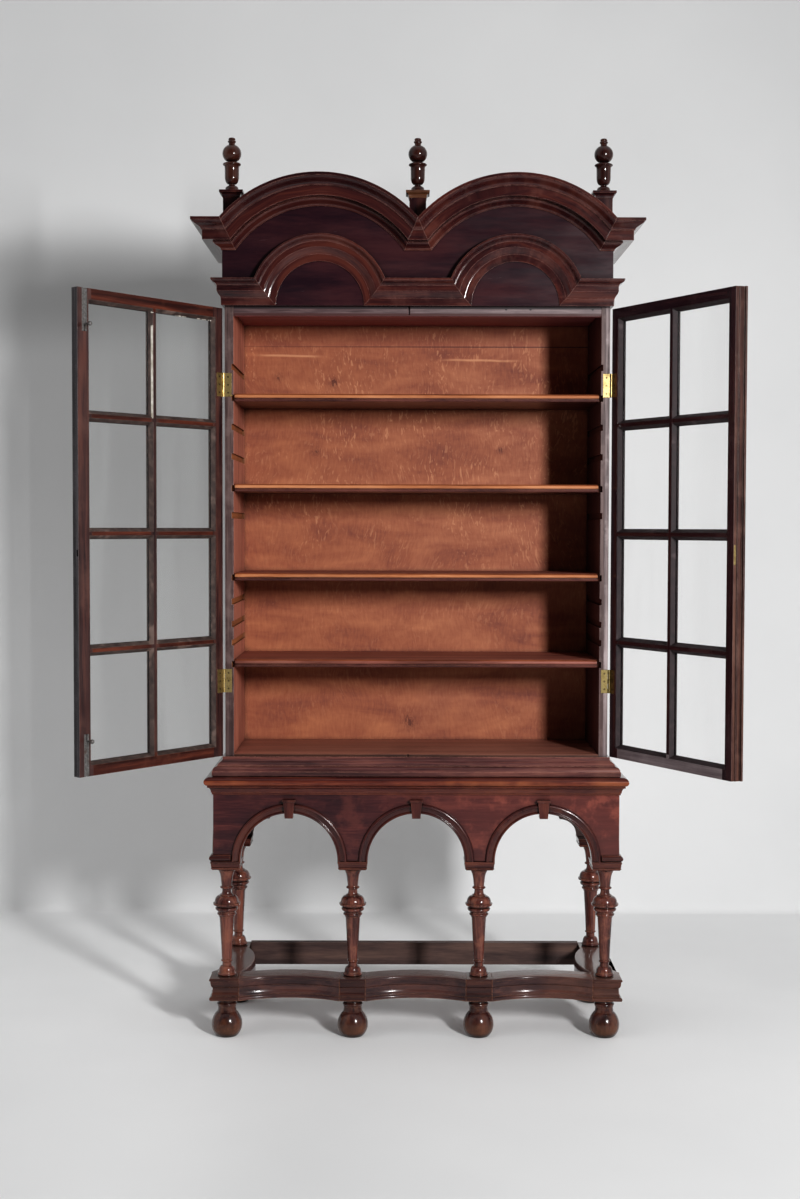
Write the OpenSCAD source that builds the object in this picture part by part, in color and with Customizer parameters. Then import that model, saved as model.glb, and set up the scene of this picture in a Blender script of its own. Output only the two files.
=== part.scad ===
// China cabinet: a double-domed case with two glazed doors, on an arcaded stand.
// X runs along the front, Y towards the wall behind, Z up. The floor is z = 0.
// Both doors stand open, each turned about its own hinge pins.

/* [Case] */
// Width of the case over its two sides
case_w = 980; // [940:1:1020]
// Depth of the case from its front edges to its back
case_d = 326; // [310:1:350]
// Height of the case from the stand to the hood
case_h = 1195; // [1170:1:1210]
// Thickness of the case sides
side_t = 22; // [18:1:24]
// Thickness of the back boards
back_t = 12; // [8:1:16]
// Number of back boards, laid across
back_boards_n = 5; // [3:1:7]
// Height of the case floor above the stand
floor_h = 53; // [50:1:58]
// Thickness of the floor board
floor_t = 18; // [14:1:22]
// Thickness of the top board
top_t = 13; // [10:1:18]
// Height of the rail under the front of the top board
top_rail_h = 24; // [20:1:30]
// Thickness of the top rail and of the rail under the floor
rail_t = 18; // [14:1:22]
// Height of the base moulding round the case
base_h = 47; // [44:1:48]
// Projection of the base moulding
base_out = 32; // [24:1:36]

/* [Shelves] */
// Thickness of a shelf
shelf_t = 19; // [16:1:22]
// Undersides of the four shelves above the case floor
shelf_rises = [223, 445, 673, 903]; // [100:1:1050]
// Undersides of the spare grooves above the case floor
spare_rises = [279, 326, 384, 604, 754, 829, 981]; // [100:1:1090]
// Depth of the grooves in the case sides
groove_deep = 5; // [4:1:8]
// Height of the grooves, and of the tongues on the shelf ends but for their play
groove_h = 15.6; // [13:0.2:17]
// Set-back of the shelf fronts from the case front
shelf_back = 10; // [4:1:20]

/* [Doors] */
// Thickness of a door
door_t = 22; // [20:1:25]
// Gap between a closed door and the case front
door_gap = 1; // [0.6:0.1:2]
// Gap between the two closed doors
meeting_gap = 1.6; // [1:0.1:3]
// Gap under the doors
door_foot_gap = 1.5; // [1:0.5:4]
// Gap over the doors
door_head_gap = 5.5; // [4:0.5:8]
// Width of stiles and rails with their moulding
stile_w = 34; // [30:1:40]
// Width of the left door's meeting stile with its moulding
meeting_stile_w = 42; // [36:1:48]
// Width of a glazing bar with its mouldings
bar_w = 27; // [23:1:31]
// Width of the glazing rebate and of the moulding
rebate_w = 9; // [7:0.5:10]
// Depth of the glazing rebate from the inner face
rebate_deep = 13; // [11:1:14]
// Thickness of the glass
glass_t = 2.5; // [2:0.5:4]
// Step of the rebated meeting edges
meeting_step = 3; // [1:0.5:5]
// Thickness of the astragal on the meeting edge
astragal_t = 8; // [6:1:10]
// Width of the astragal
astragal_w = 17; // [14:1:22]
// Opening angle of the left door as it stands
open_left = 127; // [90:1:150]
// Opening angle of the right door as it stands
open_right = 118; // [90:1:150]

/* [Hinges, bolts and lock] */
// Height of a butt hinge
hinge_h = 60; // [50:1:76]
// Distance from a door's end to the near end of a hinge
hinge_inset = 163; // [120:1:220]
// Width of a hinge leaf on the case
hinge_leaf_w = 17; // [14:1:20]
// Width of a hinge leaf on a door
hinge_door_leaf_w = 20; // [16:1:22]
// Thickness of a hinge leaf
hinge_leaf_t = 1.6; // [1.2:0.1:2]
// Radius of the hinge knuckle
knuckle_r = 3.2; // [2.8:0.1:3.4]
// Radius of the hinge pin
hinge_pin_r = 1.6; // [1.2:0.1:2]
// Height of a bolt plate
bolt_plate_h = 100; // [80:1:120]
// Travel of a bolt
bolt_travel = 10; // [6:1:12]
// Height of the lock case
lock_h = 46; // [40:1:56]
// Travel of the lock bolt
lock_travel = 8; // [5:1:9]

/* [Hood] */
// How far the hood stands out beyond the case at each side
hood_margin = 4; // [2:1:8]
// Thickness of the hood boards
hood_t = 22; // [18:1:24]
// Height of the lower moulding, the string course
string_h = 66; // [58:1:70]
// Projection of the string course
string_out = 27; // [22:1:32]
// Inner radius of the small arches in the string course
string_r = 111; // [100:1:125]
// Height of the upper cornice above the hood's base
frieze_h = 138; // [128:1:150]
// Height of the upper cornice moulding
cornice_h = 72; // [64:1:78]
// Projection of the upper cornice
cornice_out = 72; // [64:1:80]
// How far below the hood's base the big arches are struck
dome_drop = 10; // [4:1:16]
// Thickness of the dome boards
dome_t = 8; // [6:1:12]
// Width of a finial plinth
plinth_w = 42; // [36:1:48]
// Height of a plinth cap's underside above the hood's base
plinth_rise = 275; // [265:1:285]
// Height of a plinth cap
plinth_cap_h = 18; // [14:1:24]
// Height of a finial
finial_h = 135; // [120:1:150]
// Radius of a finial's ball
finial_ball_r = 24; // [20:1:27]
// Radius of a finial's urn
finial_urn_r = 18; // [15:1:21]

/* [Stand] */
// How far the stand stands out beyond the case at the front and sides
stand_margin = 29; // [26:1:36]
// How far the stand stands out beyond the case at the back
stand_back_margin = 33; // [20:1:40]
// Height from the floor to the top of the stand
stand_h = 677; // [650:1:700]
// Distance from a leg's axis to the outer face of the apron
leg_inset = 31.5; // [29:0.5:33]
// Thickness of the apron boards
apron_t = 25; // [20:1:28]
// Half width of the piers between the arches
pier_half = 38.5; // [36:0.5:42]
// Width of the moulding round each arch
arch_band = 25; // [20:1:28]
// Projection of the moulding round each arch
arch_out = 7; // [5:1:9]
// Height of the apron above the crowns of its arches
apron_h = 95; // [85:1:105]
// Projection of the moulding along the top of the stand
torus_out = 22; // [18:1:26]
// Height of the moulding along the top of the stand
torus_h = 47; // [42:1:50]
// Height of the rear apron
rear_apron_h = 137; // [125:1:150]
// Radius of the hollow of a rear bracket
bracket_hollow_r = 48; // [40:1:60]
// Height of a capital
capital_h = 22; // [18:1:26]
// Height of the stretchers
stretcher_h = 57; // [50:1:64]
// Width of the stretcher blocks and of the bowed stretchers
block_w = 66; // [60:1:70]
// How far the bowed stretchers curve in
bow = 33; // [20:1:36]
// Projection of the beads along the stretchers
bead_out = 9; // [6:1:10]
// Height of a foot
foot_h = 99; // [90:1:110]
// Largest radius of a foot
foot_r = 39.3; // [34:0.1:42]
// Radius of the cup of a leg
leg_cup_r = 34.8; // [30:0.1:37]
// Radius at the top of a leg's tapered shaft
leg_top_r = 19; // [16:0.5:21]
// Radius at the foot of a leg's tapered shaft
leg_low_r = 13.2; // [12:0.1:15]

/* [Hidden] */

walnut = [0.27, 0.12, 0.09];
walnut_light = [0.36, 0.16, 0.10];
oak = [0.62, 0.33, 0.17];
brass = [0.83, 0.66, 0.27];
iron = [0.16, 0.15, 0.15];
pane = [0.75, 0.82, 0.82, 0.35];
putty_brown = [0.33, 0.22, 0.15];

// Small clearance between pieces that only lie side by side
hair = 0.3;
// Enough to pass right through a board
cut = 50;

// Stand, worked out from the case
stand_half = case_w / 2 + stand_margin;
leg_pitch = (2 * stand_half - 2 * leg_inset) / 3;
stand_front = -stand_margin;
stand_rear = case_d + stand_back_margin;
front_leg_y = stand_front + leg_inset;
rear_leg_y = stand_rear - leg_inset;
leg_depth = rear_leg_y - front_leg_y;
leg_places = [
    for (i = [0:3]) [(i - 1.5) * leg_pitch, front_leg_y],
    [-1.5 * leg_pitch, rear_leg_y],
    [1.5 * leg_pitch, rear_leg_y]
];
block_top = foot_h + stretcher_h;
arch_r = leg_pitch / 2 - pier_half;
side_arch_r = leg_depth / 2 - pier_half;
// Rise of the apron above the capitals
apron_rise = max(arch_r, side_arch_r) + apron_h;
spring_z = stand_h - apron_rise;
leg_h = spring_z - capital_h - block_top;

// Case
case_top_z = stand_h + case_h;
floor_z = stand_h + floor_h;
inner_half = case_w / 2 - side_t;
back_face_y = case_d - back_t;
inner_top_z = case_top_z - top_t;

// Doors. In a door's own frame u runs from the hinge pin to the free edge,
// n from the inner face to the outer one, and z up, as in the case.
pin_out = knuckle_r + 0.3;
pin_x = case_w / 2 + pin_out;
door_u0 = pin_out;
door_u1 = pin_x - meeting_gap / 2;
door_z0 = stand_h + base_h + door_foot_gap;
door_z1 = case_top_z - door_head_gap;
// Width of a pane, given the width of the door's meeting stile
function pane_w(meet) = (door_u1 - door_u0 - stile_w - meet - bar_w) / 2;
pane_h = (door_z1 - door_z0 - 2 * stile_w - 3 * bar_w) / 4;
tongue_t = 9;
glass_seat = 0.4;

// Hood
hood_half = case_w / 2 + hood_margin;
hood_z = case_top_z;
hood_front_y = -hood_t;
dome_x = hood_half / 2;
dome_z = hood_z - dome_drop;
cornice_z = hood_z + frieze_h;
dome_rise = frieze_h + dome_drop;
cornice_r = sqrt(pow(dome_x, 2) + pow(dome_rise + cornice_h, 2)) - cornice_h;
board_r = cornice_r + cornice_h - 4 - dome_t;
dome_r = board_r + dome_t;
board_top_z = dome_z + sqrt(pow(board_r, 2) - pow(dome_x, 2)) - 4;

// The frame's origin is the middle of the floor under the whole object,
// open doors included, so it is worked out from how far each door reaches.
left_far = pin_x - (door_u1 - meeting_step / 2) * cos(open_left) + door_t * sin(open_left);
left_tongue = pin_x - (door_u1 + meeting_step / 2) * cos(open_left) + tongue_t * sin(open_left);
astragal_u1 = door_u1 + meeting_step / 2 + 6;
right_far = pin_x - astragal_u1 * cos(open_right) + (door_t + astragal_t) * sin(open_right);
left_near = -door_gap - (door_u1 + meeting_step / 2) * sin(open_left);
right_near = -door_gap - (door_u1 - meeting_step / 2) * sin(open_right);
origin_x = (right_far - max(left_far, left_tongue)) / 2;
origin_y = (stand_rear + min(left_near, right_near)) / 2;

module place() {
    translate([-origin_x, -origin_y, 0]) children();
}

module both_sides() {
    children();
    mirror([1, 0, 0]) children();
}

// Points of an arc from angle a0 to a1 round a centre
function arc(centre, r, a0, a1, steps) = [
    for (i = [0:steps]) let (a = a0 + (a1 - a0) * i / steps)
        [centre[0] + r * cos(a), centre[1] + r * sin(a)]
];

// Points of a wave moulding from p to q: hollow in its first half, round in its second
function cyma(p, q, steps) = [
    for (i = [0:steps]) let (t = i / steps)
        [p[0] + (q[0] - p[0]) * (1 - cos(180 * t)) / 2, p[1] + (q[1] - p[1]) * t]
];

// Points of an ellipse quarter from p to q, leaving p along the first axis
function quarter(p, q, steps) = [
    for (i = [0:steps]) let (a = 90 * i / steps)
        [p[0] + (q[0] - p[0]) * sin(a), p[1] + (q[1] - p[1]) * (1 - cos(a))]
];

// Points of an ellipse quarter from p to q, leaving p along the second axis
function quarter_up(p, q, steps) = [
    for (i = [0:steps]) let (a = 90 * i / steps)
        [p[0] + (q[0] - p[0]) * (1 - cos(a)), p[1] + (q[1] - p[1]) * sin(a)]
];

// A profile of [projection, height] points run along X, facing the front
module run_x(profile, x0, x1, y, z) {
    translate([x0, y, z])
        rotate([90, 0, 90])
            linear_extrude(x1 - x0) polygon([for (p = profile) [-p[0], p[1]]]);
}

// The same profile run along Y, facing +X
module run_y(profile, y0, y1, x, z) {
    translate([x, y1, z])
        rotate([90, 0, 0])
            linear_extrude(y1 - y0) polygon(profile);
}

// A moulding round the front and both sides, mitred at the corners
module mitred_run(profile, out, half, y_front, y_rear, z) {
    reach = out + 5;
    intersection() {
        run_x(profile, -half - reach, half + reach, y_front, z);
        translate([0, 0, z - cut])
            linear_extrude(3 * cut)
                polygon([
                    [-half, y_front + hair], [half, y_front + hair], [half, y_front],
                    [half + reach, y_front - reach], [-half - reach, y_front - reach], [-half, y_front]
                ]);
    }
    both_sides()
        intersection() {
            run_y(profile, y_front - reach, y_rear, half, z);
            translate([hair, 0, z - cut])
                linear_extrude(3 * cut)
                    polygon([
                        [half - hair, y_front], [half, y_front], [half + reach, y_front - reach],
                        [half + reach, y_rear + 1], [half - hair, y_rear + 1]
                    ]);
        }
}

// A square turned-corner moulding: half widths against heights
module square_mould(profile) {
    outline = concat(profile, [for (i = [len(profile) - 1:-1:0]) [-profile[i][0], profile[i][1]]]);
    intersection() {
        rotate([90, 0, 0]) linear_extrude(4 * cut, center = true) polygon(outline);
        rotate([90, 0, 90]) linear_extrude(4 * cut, center = true) polygon(outline);
    }
}

/* Feet and legs */

module foot(i) {
    r = foot_r;
    h = foot_h;
    neck_z = h - 23;
    widest_z = 29;
    profile = concat(
        [[0, 0], [r * 0.68, 0]],
        [for (i = [0:6]) let (a = -47 + 47 * i / 6) [r * cos(a), widest_z + widest_z * sin(a) / sin(47)]],
        [for (i = [1:6]) let (a = 52 * i / 6) [r * cos(a), widest_z + (neck_z - 12 - widest_z) * sin(a) / sin(52)]],
        [[22.7, neck_z - 2], [22.7, neck_z], [24, neck_z + 1]],
        arc([21.6, neck_z + 7.5], 4.5, -50, 50, 4),
        [[22, neck_z + 14], [23.5, neck_z + 18], [26.5, neck_z + 21], [27, h], [0, h]]
    );
    color(walnut_light)
        translate([leg_places[i - 1][0], leg_places[i - 1][1], 0])
            rotate_extrude($fn = 64) polygon(profile);
}

module leg(i) {
    h = leg_h;
    cup = leg_cup_r;
    profile = concat(
        [[0, 0], [22.5, 0]],
        arc([20.6, 4.5], 4, -60, 60, 4),
        [[21.5, 9], [21.5, 11]],
        quarter_up([21, 11], [12, 26], 4),
        [[11.8, 34]],
        arc([12.2, 39], 3, -80, 80, 4),
        [[leg_low_r, 44], [leg_top_r, h - 126], [20.5, h - 126], [20.5, h - 123]],
        arc([20.6, h - 119], 4, -60, 60, 4),
        [[22.5, h - 115], [22.5, h - 112]],
        arc([23.4, h - 105.5], 6, -70, 70, 6),
        [[27, h - 99], [27, h - 97], [cup - 1, h - 96], [cup, h - 94], [cup, h - 91], [cup - 3, h - 90]],
        quarter_up([cup - 3.5, h - 90], [19, h - 72], 5),
        [[17.3, h - 72], [17.3, h - 69]],
        quarter([16, h - 69], [11.6, h - 58], 4),
        [[11.6, h - 54]],
        arc([13.8, h - 50.5], 3.5, -85, 85, 4),
        [[13.6, h - 46], [13.9, h - 42], [16.1, h - 22], [18, h - 14], [20.6, h - 8], [20.6, h - 7]],
        arc([20.6, h - 3.5], 3.5, -80, 80, 4),
        [[0, h]]
    );
    color(walnut_light)
        translate([leg_places[i - 1][0], leg_places[i - 1][1], block_top])
            rotate_extrude($fn = 64) polygon(profile);
}

/* Stretchers */

// Edge of the stretchers: a bead below, a hollow, a bead above
function stretcher_edge() = let (h = stretcher_h, out = bead_out) concat(
    [[0, 0], [out - 1, 0]],
    arc([out - 4, 4.5], 4, -50, 70, 4),
    [[out - 4, 9.5], [2.5, 9.5]],
    quarter_up([2.5, 9.5], [0.5, 20], 3),
    [[0.5, h - 24]],
    quarter([0.5, h - 24], [out - 3, h - 7], 4),
    [[out - 2, h - 7]],
    arc([out - 3.5, h - 3.5], 3.5, -60, 60, 4),
    [[out - 3.5, h], [0, h]]
);

module stretcher_blocks() {
    half = block_w / 2;
    edge = stretcher_edge();
    color(walnut)
        for (i = [0:5]) {
            rear = i > 3;
            outer = i == 0 || i == 3 || rear;
            side = leg_places[i][0] > 0 ? 1 : -1;
            translate([leg_places[i][0], leg_places[i][1], foot_h])
                union() {
                    translate([-half, -half, 0]) cube([block_w, block_w, stretcher_h]);
                    if (!rear)
                        intersection() {
                            run_x(edge, -half - 20, half + 20, -half, 0);
                            linear_extrude(stretcher_h)
                                polygon([
                                    [side < 0 && outer ? -half - 20 : -half, -half - 20],
                                    [side > 0 && outer ? half + 20 : half, -half - 20],
                                    [half, -half], [half, -half + 2], [-half, -half + 2], [-half, -half]
                                ]);
                        }
                    if (outer)
                        scale([side, 1, 1])
                            intersection() {
                                run_y(edge, -half - 20, half, half, 0);
                                linear_extrude(stretcher_h)
                                    polygon([
                                        [half - 2, -half], [half, -half],
                                        rear ? [half + 20, -half] : [half + 20, -half - 20],
                                        [half + 20, half], [half - 2, half]
                                    ]);
                            }
                }
        }
}

// A bowed stretcher between two blocks that stand a pitch apart,
// its middle at the origin and its hollow edge towards -Y
module bowed_stretcher(pitch) {
    chord = pitch - block_w - 2 * hair;
    radius = (pow(chord / 2, 2) + pow(bow, 2)) / (2 * bow);
    front = -block_w / 2;
    // The back edge bows too, and its ends meet the back corners of the blocks
    back_r = sqrt(pow(radius - bow + block_w, 2) + pow(chord / 2, 2));
    edge = stretcher_edge();
    profile = concat(
        [for (p = edge) [radius - p[0], p[1]]],
        [[radius + 3, stretcher_h], [back_r - 2, stretcher_h], [back_r, stretcher_h - 3],
            [back_r, 3], [back_r - 2, 0], [radius + 3, 0]]
    );
    intersection() {
        translate([0, front + bow - radius, 0])
            rotate([0, 0, 45])
                rotate_extrude(angle = 90, $fn = 128) polygon(profile);
        translate([-chord / 2, front - 2 * cut, -1]) cube([chord, 6 * cut, stretcher_h + 2]);
    }
}

module front_stretchers() {
    color(walnut)
        for (i = [-1:1])
            translate([i * leg_pitch, front_leg_y, foot_h]) bowed_stretcher(leg_pitch);
}

module side_stretchers() {
    color(walnut)
        both_sides()
            translate([1.5 * leg_pitch, (front_leg_y + rear_leg_y) / 2, foot_h])
                rotate([0, 0, 90]) bowed_stretcher(leg_depth);
}

module rear_stretcher() {
    long = 3 * leg_pitch - block_w - 2 * hair;
    color(walnut)
        translate([-long / 2, stand_rear - apron_t, foot_h]) cube([long, apron_t, stretcher_h + 4]);
}

/* Aprons and their mouldings */

// A board with round-headed openings: the arch centres and their radius
module arched_board(x0, x1, height, centres, radius, thick) {
    rotate([90, 0, 0])
        translate([0, 0, -thick])
            linear_extrude(thick)
                difference() {
                    translate([x0, 0]) square([x1 - x0, height]);
                    for (c = centres) translate([c, 0]) circle(r = radius, $fn = 96);
                }
}

module front_apron() {
    color(walnut)
        translate([0, stand_front, spring_z])
            arched_board(-stand_half, stand_half, apron_rise,
                [-leg_pitch, 0, leg_pitch], arch_r, apron_t);
}

module side_aprons() {
    mid = (front_leg_y + rear_leg_y) / 2;
    y0 = stand_front + apron_t + hair;
    color(walnut)
        both_sides()
            translate([stand_half, mid, spring_z])
                rotate([0, 0, 90])
                    arched_board(y0 - mid, stand_rear - mid, apron_rise, [0], side_arch_r, apron_t);
}

rear_apron_z = stand_h - rear_apron_h;

module rear_apron() {
    half = stand_half - apron_t - hair;
    color(walnut)
        translate([-half, stand_rear - apron_t, rear_apron_z])
            cube([2 * half, apron_t, stand_h - rear_apron_z]);
}

module rear_brackets() {
    outer = stand_half - apron_t - hair;
    inner = 1.5 * leg_pitch - pier_half;
    color(walnut)
        both_sides()
            translate([0, stand_rear - apron_t, spring_z])
                rotate([90, 0, 0])
                    translate([0, 0, -apron_t])
                        linear_extrude(apron_t)
                            difference() {
                                translate([inner - bracket_hollow_r, 0])
                                    square([outer - inner + bracket_hollow_r, rear_apron_z - spring_z - hair]);
                                translate([inner - bracket_hollow_r, 0]) circle(r = bracket_hollow_r, $fn = 64);
                            }
}

// Section of the moulding round an arch: radius out from the opening against projection
function arch_section(r) = let (w = arch_band, out = arch_out) concat(
    [[r, 0], [r, out - 2.5]],
    arc([r + 2.5, out - 2.5], 2.5, 180, 60, 3),
    [[r + 5.5, out - 3]],
    quarter([r + 6.5, out - 4], [r + w - 11, out - 2.5], 3),
    [[r + w - 10, out - 2.5]],
    arc([r + w - 5.5, out - 3.5], 4, 160, 20, 5),
    [[r + w - 0.5, out - 4.5], [r + w, 0]]
);

module arch_moulding(r) {
    rotate([90, 0, 0])
        rotate_extrude(angle = 180, $fn = 128) polygon(arch_section(r));
}

module arch_mouldings() {
    mid = (front_leg_y + rear_leg_y) / 2;
    color(walnut_light) {
        for (i = [-1:1])
            translate([i * leg_pitch, stand_front, spring_z]) arch_cut(arch_r) arch_moulding(arch_r);
        both_sides()
            translate([stand_half, mid, spring_z])
                rotate([0, 0, 90]) arch_cut(side_arch_r) arch_moulding(side_arch_r);
    }
}

key_top_w = 30;
key_low_w = 21;
key_h = 47;
key_out = 12;
key_rise = 12;

// Outline of a keystone in the plane of its arch, from its foot to its top
module keystone_outline(extra) {
    polygon([
        [-key_low_w / 2 - extra, 0], [key_low_w / 2 + extra, 0],
        [key_top_w / 2 + extra, key_h], [-key_top_w / 2 - extra, key_h]
    ]);
}

// Takes out of an arch moulding of inner radius r the place where its keystone sits
module arch_cut(r) {
    difference() {
        children();
        translate([0, -2 * cut, r - key_rise])
            rotate([90, 0, 0])
                translate([0, 0, -4 * cut]) linear_extrude(4 * cut) keystone_outline(hair);
    }
}

module keystone(r) {
    low = r - key_rise;
    translate([0, 0, low])
        rotate([90, 0, 0])
            linear_extrude(key_out) keystone_outline(0);
    translate([0, 0, low + key_h - 5])
        rotate([90, 0, 0])
            linear_extrude(key_out + 3)
                polygon([[-key_top_w / 2 - 2, 0], [key_top_w / 2 + 2, 0], [key_top_w / 2 + 2, 5], [-key_top_w / 2 - 2, 5]]);
    translate([-key_low_w / 2, 0, low])
        cube([key_low_w, apron_t * 0.6, key_rise - 1]);
}

module keystones() {
    mid = (front_leg_y + rear_leg_y) / 2;
    color(walnut_light) {
        for (i = [-1:1]) translate([i * leg_pitch, stand_front, spring_z]) keystone(arch_r);
        both_sides()
            translate([stand_half, mid, spring_z]) rotate([0, 0, 90]) keystone(side_arch_r);
    }
}

module capitals() {
    h = capital_h;
    half = pier_half;
    profile = concat(
        [[0, 0], [half - 4, 0], [half - 4, 2], [half - 1.5, 3], [half - 1.5, 6]],
        quarter([half - 4, 6], [half - 1.5, 12], 3),
        [[half - 1.5, h - 6], [half, h - 5], [half, h], [0, h]]
    );
    collar_h = 17;
    collar_out = 10;
    collar = concat([[0, 0], [4, 0]], arc([3, collar_h / 2], collar_out - 3, -78, 78, 6), [[4, collar_h], [0, collar_h]]);
    color(walnut_light) {
        for (i = [0:5])
            translate([leg_places[i][0], leg_places[i][1], spring_z - h]) square_mould(profile);
        both_sides() {
            intersection() {
                run_x(collar, leg_pitch + arch_r + arch_band + hair, stand_half + 20, stand_front, spring_z);
                linear_extrude(stand_h)
                    polygon([
                        [leg_pitch, stand_front], [stand_half, stand_front],
                        [stand_half + 20, stand_front - 20], [leg_pitch, stand_front - 20]
                    ]);
            }
            intersection() {
                run_y(collar, stand_front - 20, front_leg_y + pier_half - arch_band - hair, stand_half, spring_z);
                linear_extrude(stand_h)
                    polygon([
                        [stand_half, stand_front], [stand_half + 20, stand_front - 20],
                        [stand_half + 20, 0.5 * case_d], [stand_half, 0.5 * case_d]
                    ]);
            }
            run_y(collar, rear_leg_y - pier_half + arch_band + hair, stand_rear, stand_half, spring_z);
        }
    }
}

module stand_moulding() {
    h = torus_h;
    out = torus_out;
    profile = concat(
        [[0, 0], [3, 0], [3, 5], [5, 5]],
        quarter_up([5, 6], [out - 8, 19], 5),
        [[out - 8, 23], [out - 10.5, 23.5]],
        arc([out - 10.5, h - 13], 10.5, -78, 78, 8),
        [[out - 10.5, h - 1.5], [0, h - 1.5]]
    );
    color(walnut_light) mitred_run(profile, out, stand_half, stand_front, stand_rear, stand_h - h);
}

/* Case */

// A case side at the left, with grooves for the shelves in its inner face
module case_side() {
    difference() {
        translate([-case_w / 2, 0, stand_h]) cube([side_t, case_d, case_h]);
        for (rise = concat(shelf_rises, spare_rises))
            translate([-inner_half - groove_deep, -1, floor_z + rise])
                cube([groove_deep + 1, back_face_y + 1 - hair, groove_h]);
        translate([-inner_half - groove_deep, back_face_y, floor_z - floor_t])
            cube([groove_deep + 1, back_t + 1, case_h]);
        for (z = hinge_zs)
            translate([-case_w / 2 - 1, -1, z - hair])
                cube([hinge_leaf_w + 1 + hair, hinge_leaf_t + 1, hinge_h + 2 * hair]);
    }
}

module case_side_left() {
    color(walnut) case_side();
}

module case_side_right() {
    color(walnut) mirror([1, 0, 0]) case_side();
}

bolt_x = 22;
bolt_slot_w = 6;

module case_top() {
    color(oak)
        translate([-inner_half + hair, rail_t + hair, inner_top_z])
            cube([2 * inner_half - 2 * hair, back_face_y - rail_t - 2 * hair, top_t]);
}

module top_rail() {
    color(walnut_light)
        difference() {
            translate([-inner_half + hair, 0, case_top_z - top_rail_h])
                cube([2 * inner_half - 2 * hair, rail_t, top_rail_h]);
            translate([-bolt_x - bolt_slot_w / 2, -1, case_top_z - top_rail_h + 4])
                cube([bolt_slot_w, 8, top_rail_h]);
        }
}

module case_floor() {
    color(oak)
        difference() {
            union() {
                translate([-inner_half + hair, 0, floor_z - floor_t])
                    cube([2 * inner_half - 2 * hair, back_face_y - hair, floor_t]);
                translate([-inner_half + hair, 0, stand_h])
                    cube([2 * inner_half - 2 * hair, rail_t, floor_h - 1]);
            }
            translate([-bolt_x - bolt_slot_w / 2, -1, floor_z - 14])
                cube([bolt_slot_w, 6, 20]);
        }
}

module back_boards() {
    total = inner_top_z - (floor_z - floor_t) + top_t;
    pitch = total / back_boards_n;
    half = inner_half + groove_deep - hair;
    color(oak)
        for (i = [0:back_boards_n - 1])
            translate([-half, back_face_y, floor_z - floor_t + i * pitch + hair])
                cube([2 * half, back_t, pitch - 2 * hair]);
}

module base_moulding() {
    h = base_h;
    out = base_out;
    profile = concat(
        [[0, 0], [out, 0], [out, 11]],
        quarter_up([out - 1, 12], [out - 10, 23], 4),
        [[out - 11, 24], [out - 13, 24], [out - 13, 26]],
        [for (p = cyma([out - 14, 27], [6.5, h - 6], 8)) p],
        [[6.5, h], [0, h]]
    );
    color(walnut)
        difference() {
            mitred_run(profile, out, case_w / 2, 0, case_d, stand_h);
            translate([-bolt_x - bolt_slot_w / 2, -4.8, stand_h + h - 14]) cube([bolt_slot_w, 7, 20]);
        }
}

module shelf(i) {
    long = inner_half + groove_deep - 0.6;
    wide = inner_half - 0.6;
    nose = 12;
    t = shelf_t;
    edge = concat(
        [[0, 0], [nose - 4, 0]],
        quarter([nose - 4, 0], [nose - 1.5, 5], 3),
        [[nose - 3, 6], [nose - 3, 8]],
        arc([nose - 5, t - 6.5], 5, -50, 75, 5),
        [[nose - 5, t - 0.5], [nose - 5, t], [0, t]]
    );
    color(oak)
        translate([0, 0, floor_z + shelf_rises[i - 1]])
            union() {
                translate([-long, shelf_back + nose, hair])
                    cube([2 * long, back_face_y - shelf_back - nose - hair, groove_h - 2 * hair]);
                translate([-wide, shelf_back + nose, 0])
                    cube([2 * wide, back_face_y - shelf_back - nose - hair, t]);
                run_x(edge, -inner_half + 1.5, inner_half - 4, shelf_back + nose, 0);
            }
}

/* Doors */

// Puts a door's own frame into the case: u along the door, n outwards
module left_door_place() {
    translate([-pin_x, -door_gap, 0])
        rotate([0, 0, -open_left]) children();
}

module right_door_place() {
    translate([pin_x, -door_gap, 0])
        rotate([0, 0, open_right]) mirror([1, 0, 0]) children();
}

// Middle of a pane in its door: column 0 or 1, row 0 to 3 from below
function pane_u(column, meet) = door_u0 + stile_w + pane_w(meet) / 2 + column * (pane_w(meet) + bar_w);
function pane_z(row) = door_z0 + stile_w + pane_h / 2 + row * (pane_h + bar_w);

// Half width of a pane opening against n: the glazing rebate behind, the moulding in front
function pane_section(half) = let (round_r = 8, nose_n = rebate_deep + 2.5) concat(
    [[half + rebate_w, -1], [half + rebate_w, rebate_deep], [half, rebate_deep]],
    [for (i = [0:5]) let (a = 90 * i / 5)
        [half + round_r * (1 - cos(a)), nose_n + (door_t - 1 - nose_n) * sin(a)]],
    [[half + round_r + 1, door_t - 1], [half + round_r + 1, door_t + 1]]
);

function mirrored(section) = concat(section, [for (i = [len(section) - 1:-1:0]) [-section[i][0], section[i][1]]]);

// A rectangular hole whose section is the same on all four sides, mitred in the corners
module framed_hole(section_u, section_z) {
    reach = 2 * pane_h;
    intersection() {
        linear_extrude(reach, center = true)
            polygon([for (p = mirrored(section_u)) [p[0], -p[1]]]);
        rotate([90, 0, 90])
            linear_extrude(reach, center = true)
                polygon([for (p = mirrored(section_z)) [-p[1], p[0]]]);
    }
}

// A slab as thick as a door with its eight pane openings; meet is its meeting stile's width
module door_slab(u1, meet) {
    difference() {
        translate([door_u0, -door_t, door_z0]) cube([u1 - door_u0, door_t, door_z1 - door_z0]);
        for (column = [0, 1])
            for (row = [0:3])
                translate([pane_u(column, meet), 0, pane_z(row)])
                    framed_hole(pane_section(pane_w(meet) / 2), pane_section(pane_h / 2));
    }
}

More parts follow.
